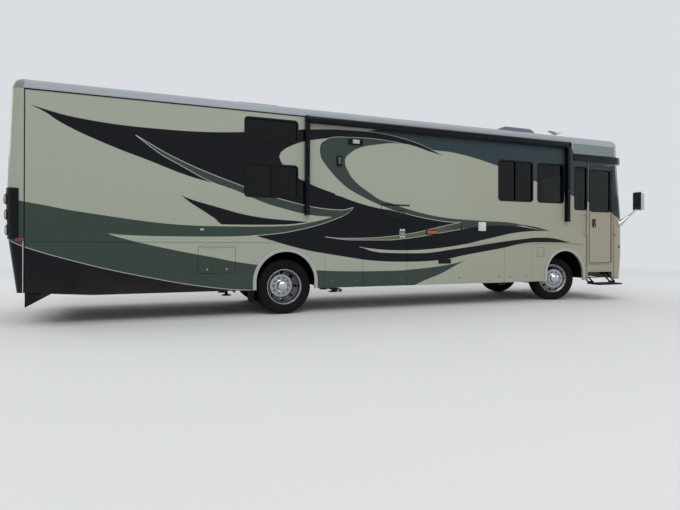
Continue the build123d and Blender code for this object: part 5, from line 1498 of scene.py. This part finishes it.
def puffed(low, high, corner, cap, voxel):
    """A rounded block remeshed and blown up by cloth simulation: its mesh."""
    block = Piece("block")
    block.box(low, high, "cloth", corner)
    data = bpy.data.meshes.new("puffed")
    block.mesh.to_mesh(data)
    block.mesh.free()
    obj = bpy.data.objects.new("puffed", data)
    bpy.context.scene.collection.objects.link(obj)
    remesh = obj.modifiers.new("remesh", "REMESH")
    remesh.mode = "VOXEL"
    remesh.voxel_size = voxel
    evaluated(obj)
    swell(obj, cap)
    smooth = obj.modifiers.new("smooth", "SMOOTH")
    smooth.factor = 0.5
    smooth.iterations = 4
    divide = obj.modifiers.new("divide", "SUBSURF")
    divide.levels = 1
    evaluated(obj)
    data = obj.data
    bpy.data.objects.remove(obj)
    return data


def swell(obj, cap):
    """The object blown up by pressure from inside, with no point moved further than the cap."""
    start = [vert.co.copy() for vert in obj.data.vertices]
    cloth = obj.modifiers.new("cloth", "CLOTH")
    cloth.settings.use_pressure = True
    cloth.settings.uniform_pressure_force = 4.0
    cloth.settings.effector_weights.gravity = 0.0
    cloth.point_cache.frame_start = 1
    cloth.point_cache.frame_end = SWELL_FRAMES
    for number in range(1, SWELL_FRAMES + 1):
        bpy.context.scene.frame_set(number)
    evaluated(obj)
    bpy.context.scene.frame_set(1)
    for vert, place in zip(obj.data.vertices, start):
        move = vert.co - place
        if move.length > cap:
            move = move.normalized() * cap
        vert.co = place + move


def sewn(data, seams, depth=0.007, reach=0.013):
    """Channels pressed into a cushion along seams: (axis across the seam, where it lies, facing axis)."""
    for vert in data.vertices:
        for across, place, face, way in seams:
            off = abs(vert.co[across] - place)
            if off < reach and vert.normal[face] * way > 0.35:
                vert.co[face] -= way * depth * (0.5 + 0.5 * math.cos(math.pi * off / reach))


def piping_loop(data, axis, level, count=96):
    """Points round a cushion's widest line, found by straight lines from its middle."""
    tree = BVHTree.FromPolygons([v.co for v in data.vertices], [p.vertices[:] for p in data.polygons])
    low, high = [Vector(pick(v.co[k] for v in data.vertices) for k in range(3)) for pick in (min, max)]
    middle = (low + high) / 2
    middle[axis] = level
    one, two = [k for k in range(3) if k != axis]
    points = []
    for n in range(count):
        turn = math.tau * n / count
        way = Vector((0, 0, 0))
        way[one] = math.cos(turn) * (high[one] - low[one])
        way[two] = math.sin(turn) * (high[two] - low[two])
        hit, _, _, _ = tree.ray_cast(middle, way.normalized())
        if hit is not None:
            points.append(hit)
    return points


def soft_part(name, data, place):
    """One cushion: its own copy of a puffed mesh, moved to its seat."""
    copy = data.copy()
    copy.name = name
    copy.transform(Matrix.Translation(place))
    copy.materials.clear()
    copy.materials.append(MATERIALS["cloth"])
    for polygon in copy.polygons:
        polygon.use_smooth = True
        polygon.material_index = 0
    obj = bpy.data.objects.new(name, copy)
    bpy.context.scene.collection.objects.link(obj)
    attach(obj, "coach")
    return obj


def seat_frame(side, x, y, loops):
    """A seat's turned post, shells, head rest's bars and piping."""
    piece = Piece("seat_frame_" + side)
    place = Matrix.Translation((x, y, SEAT_BASE))
    piece.lathe(SEAT_POST, Matrix.Translation((x + 0.25, y, FLOOR_TOP)), "trim", 48)
    piece.box((0.02, -0.24, 0), (0.51, 0.24, 0.024), "plastic", 0.008, place)
    piece.box((-0.056, -0.20, 0.02), (-0.036, 0.20, 0.60), "plastic", 0.008, place)
    for off in (-0.07, 0.07):
        bar = [place @ Vector((-0.01, off, height)) for height in (0.56, 0.70)]
        piece.tube(bar, 0.007, "chrome", 12)
    for points in loops:
        piece.tube([point + Vector((x, y, 0)) for point in points], 0.0035, "piping", 8, closed=True)
    return piece.done()


def seats():
    """Two cab seats: puffed cushions, backs and head rests on turned posts."""
    cushion = puffed(*CUSHION)
    backrest = puffed(*BACKREST)
    headrest = puffed(*HEADREST)
    sewn(cushion, CUSHION_SEAMS)
    sewn(backrest, BACK_SEAMS)
    loops = (
        piping_loop(cushion, 2, SEAT_BASE + 0.105), piping_loop(backrest, 0, 0.045),
        piping_loop(headrest, 0, 0.040),
    )
    for side, x, y in SEATS:
        place = Vector((x, y, 0))
        made = [
            soft_part("seat_cushion_" + side, cushion, place),
            soft_part("seat_back_" + side, backrest, place),
            soft_part("head_rest_" + side, headrest, place),
            seat_frame(side, x, y, loops),
        ]
        for piece in made:
            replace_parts(piece, "seats")


# The dashboard's face, and the dials: how far left and their radius
DASH_FACE = 5.39
DIAL_FACE = 5.4485
DIALS = ((0.57, 0.062), (0.75, 0.062), (0.66, 0.036))


def dash_details():
    """Dials with their marks and needles, a screen and air vents on the dashboard."""
    piece = Piece("dash_details")
    for y, r in DIALS:
        place = facing((DIAL_FACE, y, FLOOR_TOP + 0.505), (-1, 0, 0))
        piece.lathe(((r, -0.004), (r, 0.006), (r * 0.94, 0.008), (r * 0.90, 0.003)), place, "chrome", 40)
        piece.lathe(((r * 0.90, 0.003), (0, 0.003)), place, "dial", 40)
        for n in range(9):
            turn = place @ Matrix.Rotation(math.radians(-120 + 30 * n), 4, "Z")
            piece.box((-0.0012, r * 0.72, 0.003), (0.0012, r * 0.84, 0.0036), "white", place=turn)
        piece.box((-0.0015, -r * 0.15, 0.0034), (0.0015, r * 0.7, 0.0046), "amber", place=place)
    place = facing((DASH_FACE, 0.20, FLOOR_TOP + 0.34), (-1, 0, 0))
    piece.slab(place, 0.25, 0.15, 0.012, -0.002, 0.008, "trim", 0.004)
    piece.slab(place, 0.22, 0.12, 0.006, 0.008, 0.010, "dial", 0.0)
    for y in (1.00, 0.40, 0.00, -0.30):
        place = facing((DASH_FACE, y, FLOOR_TOP + 0.39), (-1, 0, 0))
        piece.slab(place, 0.13, 0.06, 0.014, -0.002, 0.006, "trim", 0.003)
        for n in range(4):
            low = -0.021 + 0.012 * n
            piece.box((-0.052, low, 0.005), (0.052, low + 0.004, 0.0085), "plastic", 0.001, place)
    piece.done()


# Light, floor and camera


BACKDROP = linear((218, 222, 226))
# Lamps: place, what they point at, width, height, power
LAMPS = (
    ((-3.0, -14.5, 14.5), (0.0, 0.0, 1.6), 18.0, 7.0, 1250.0),
    ((0.0, 0.0, 15.0), (0.0, 0.0, 2.0), 20.0, 12.0, 420.0),
    ((18.0, -5.0, 7.0), (4.0, 0.0, 1.8), 8.0, 7.0, 520.0),
    ((-16.0, 6.0, 8.0), (-3.0, 0.0, 1.8), 9.0, 7.0, 520.0),
    ((2.0, 17.0, 10.0), (0.0, 0.0, 1.6), 18.0, 8.0, 500.0),
)
# The photograph's viewpoint, its turn and tilt in degrees, its lens in mm and its shift
CAMERA_PLACE = (-4.128, -9.4325, 1.24)
CAMERA_TURN = -21.09
CAMERA_ROLL = 0.25
CAMERA_LENS = 25.99
CAMERA_SHIFT = -12.5 / 680


def seen_rays(tree):
    """1 for rays that show something to the camera: straight, mirrored or through glass."""
    rays = add(tree, "LightPath").outputs
    seen = Number(tree, rays["Is Camera Ray"]).math("MAXIMUM", rays["Is Glossy Ray"])
    return seen.math("MAXIMUM", rays["Is Transmission Ray"])


def background():
    """White light from all round, and a pale grey where the background is seen."""
    world = bpy.data.worlds.new("studio")
    bpy.context.scene.world = world
    world.use_nodes = True
    tree = world.node_tree
    tree.nodes.clear()
    plain = add(tree, "Background", (1.0, 1.0, 1.0, 1.0), 0.55)
    shown = add(tree, "Background", BACKDROP, 1.0)
    both = add(tree, "MixShader", seen_rays(tree), plain.outputs[0], shown.outputs[0])
    add(tree, "OutputWorld", both.outputs[0])


def studio_floor():
    """A wide pale floor that fades into the background between 8 and 22 m away."""
    look = Look("floor")
    shade = look.mix(look.noise(40.0, 4.0), linear((214, 216, 218)), linear((222, 224, 226)))
    material = look.done(shade, 0.8)
    _, distance = look.vector("LENGTH", look.coords)
    far = distance.ramp(8.0, 22.0) * seen_rays(look.tree)
    glow = add(look.tree, "Emission", BACKDROP, 1.0)
    blend = add(look.tree, "MixShader", far, look.shader.outputs[0], glow.outputs[0])
    put(look.tree, look.tree.nodes["Material Output"].inputs[0], blend.outputs[0])
    bpy.ops.mesh.primitive_circle_add(vertices=96, radius=400, fill_type="NGON", location=(0, 0, 0))
    floor = bpy.context.object
    floor.name = "studio_floor"
    floor.data.materials.append(material)


def lamps():
    """Soft rectangular lamps round the coach."""
    for place, target, width, height, power in LAMPS:
        light = bpy.data.lights.new("softbox", "AREA")
        light.shape = "RECTANGLE"
        light.size = width
        light.size_y = height
        light.energy = power
        lamp = bpy.data.objects.new("softbox", light)
        lamp.location = place
        lamp.rotation_euler = (Vector(target) - Vector(place)).to_track_quat("-Z", "Y").to_euler()
        bpy.context.scene.collection.objects.link(lamp)


def camera():
    """The photograph's viewpoint: level, turned to the rear, with a small vertical shift."""
    data = bpy.data.cameras.new("camera")
    data.lens = CAMERA_LENS
    data.sensor_width = 36.0
    data.shift_y = CAMERA_SHIFT
    data.clip_end = 1000
    obj = bpy.data.objects.new("camera", data)
    turns = ((CAMERA_TURN, "Z"), (90, "X"), (CAMERA_ROLL, "Z"))
    obj.matrix_world = Matrix.Translation(CAMERA_PLACE)
    for angle, axis in turns:
        obj.matrix_world = obj.matrix_world @ Matrix.Rotation(math.radians(angle), 4, axis)
    bpy.context.scene.collection.objects.link(obj)
    bpy.context.scene.camera = obj


dress_nodes()
tyres()
rims()
wheel_dressing()
side_mouldings()
window_details()
bay_hardware()
side_fittings()
awning_details()
mud_flaps()
front_details()
wipers()
headlamp_bowls()
mirror_details()
rear_details()
tail_lamp_faces()
roof_details()
tv_antenna()
entry_door_trim()
step_grip()
door_frame()
driveline()
exhaust()
jacks()
seats()
dash_details()
background()
studio_floor()
lamps()
camera()
bpy.context.scene.view_settings.view_transform = "Standard"
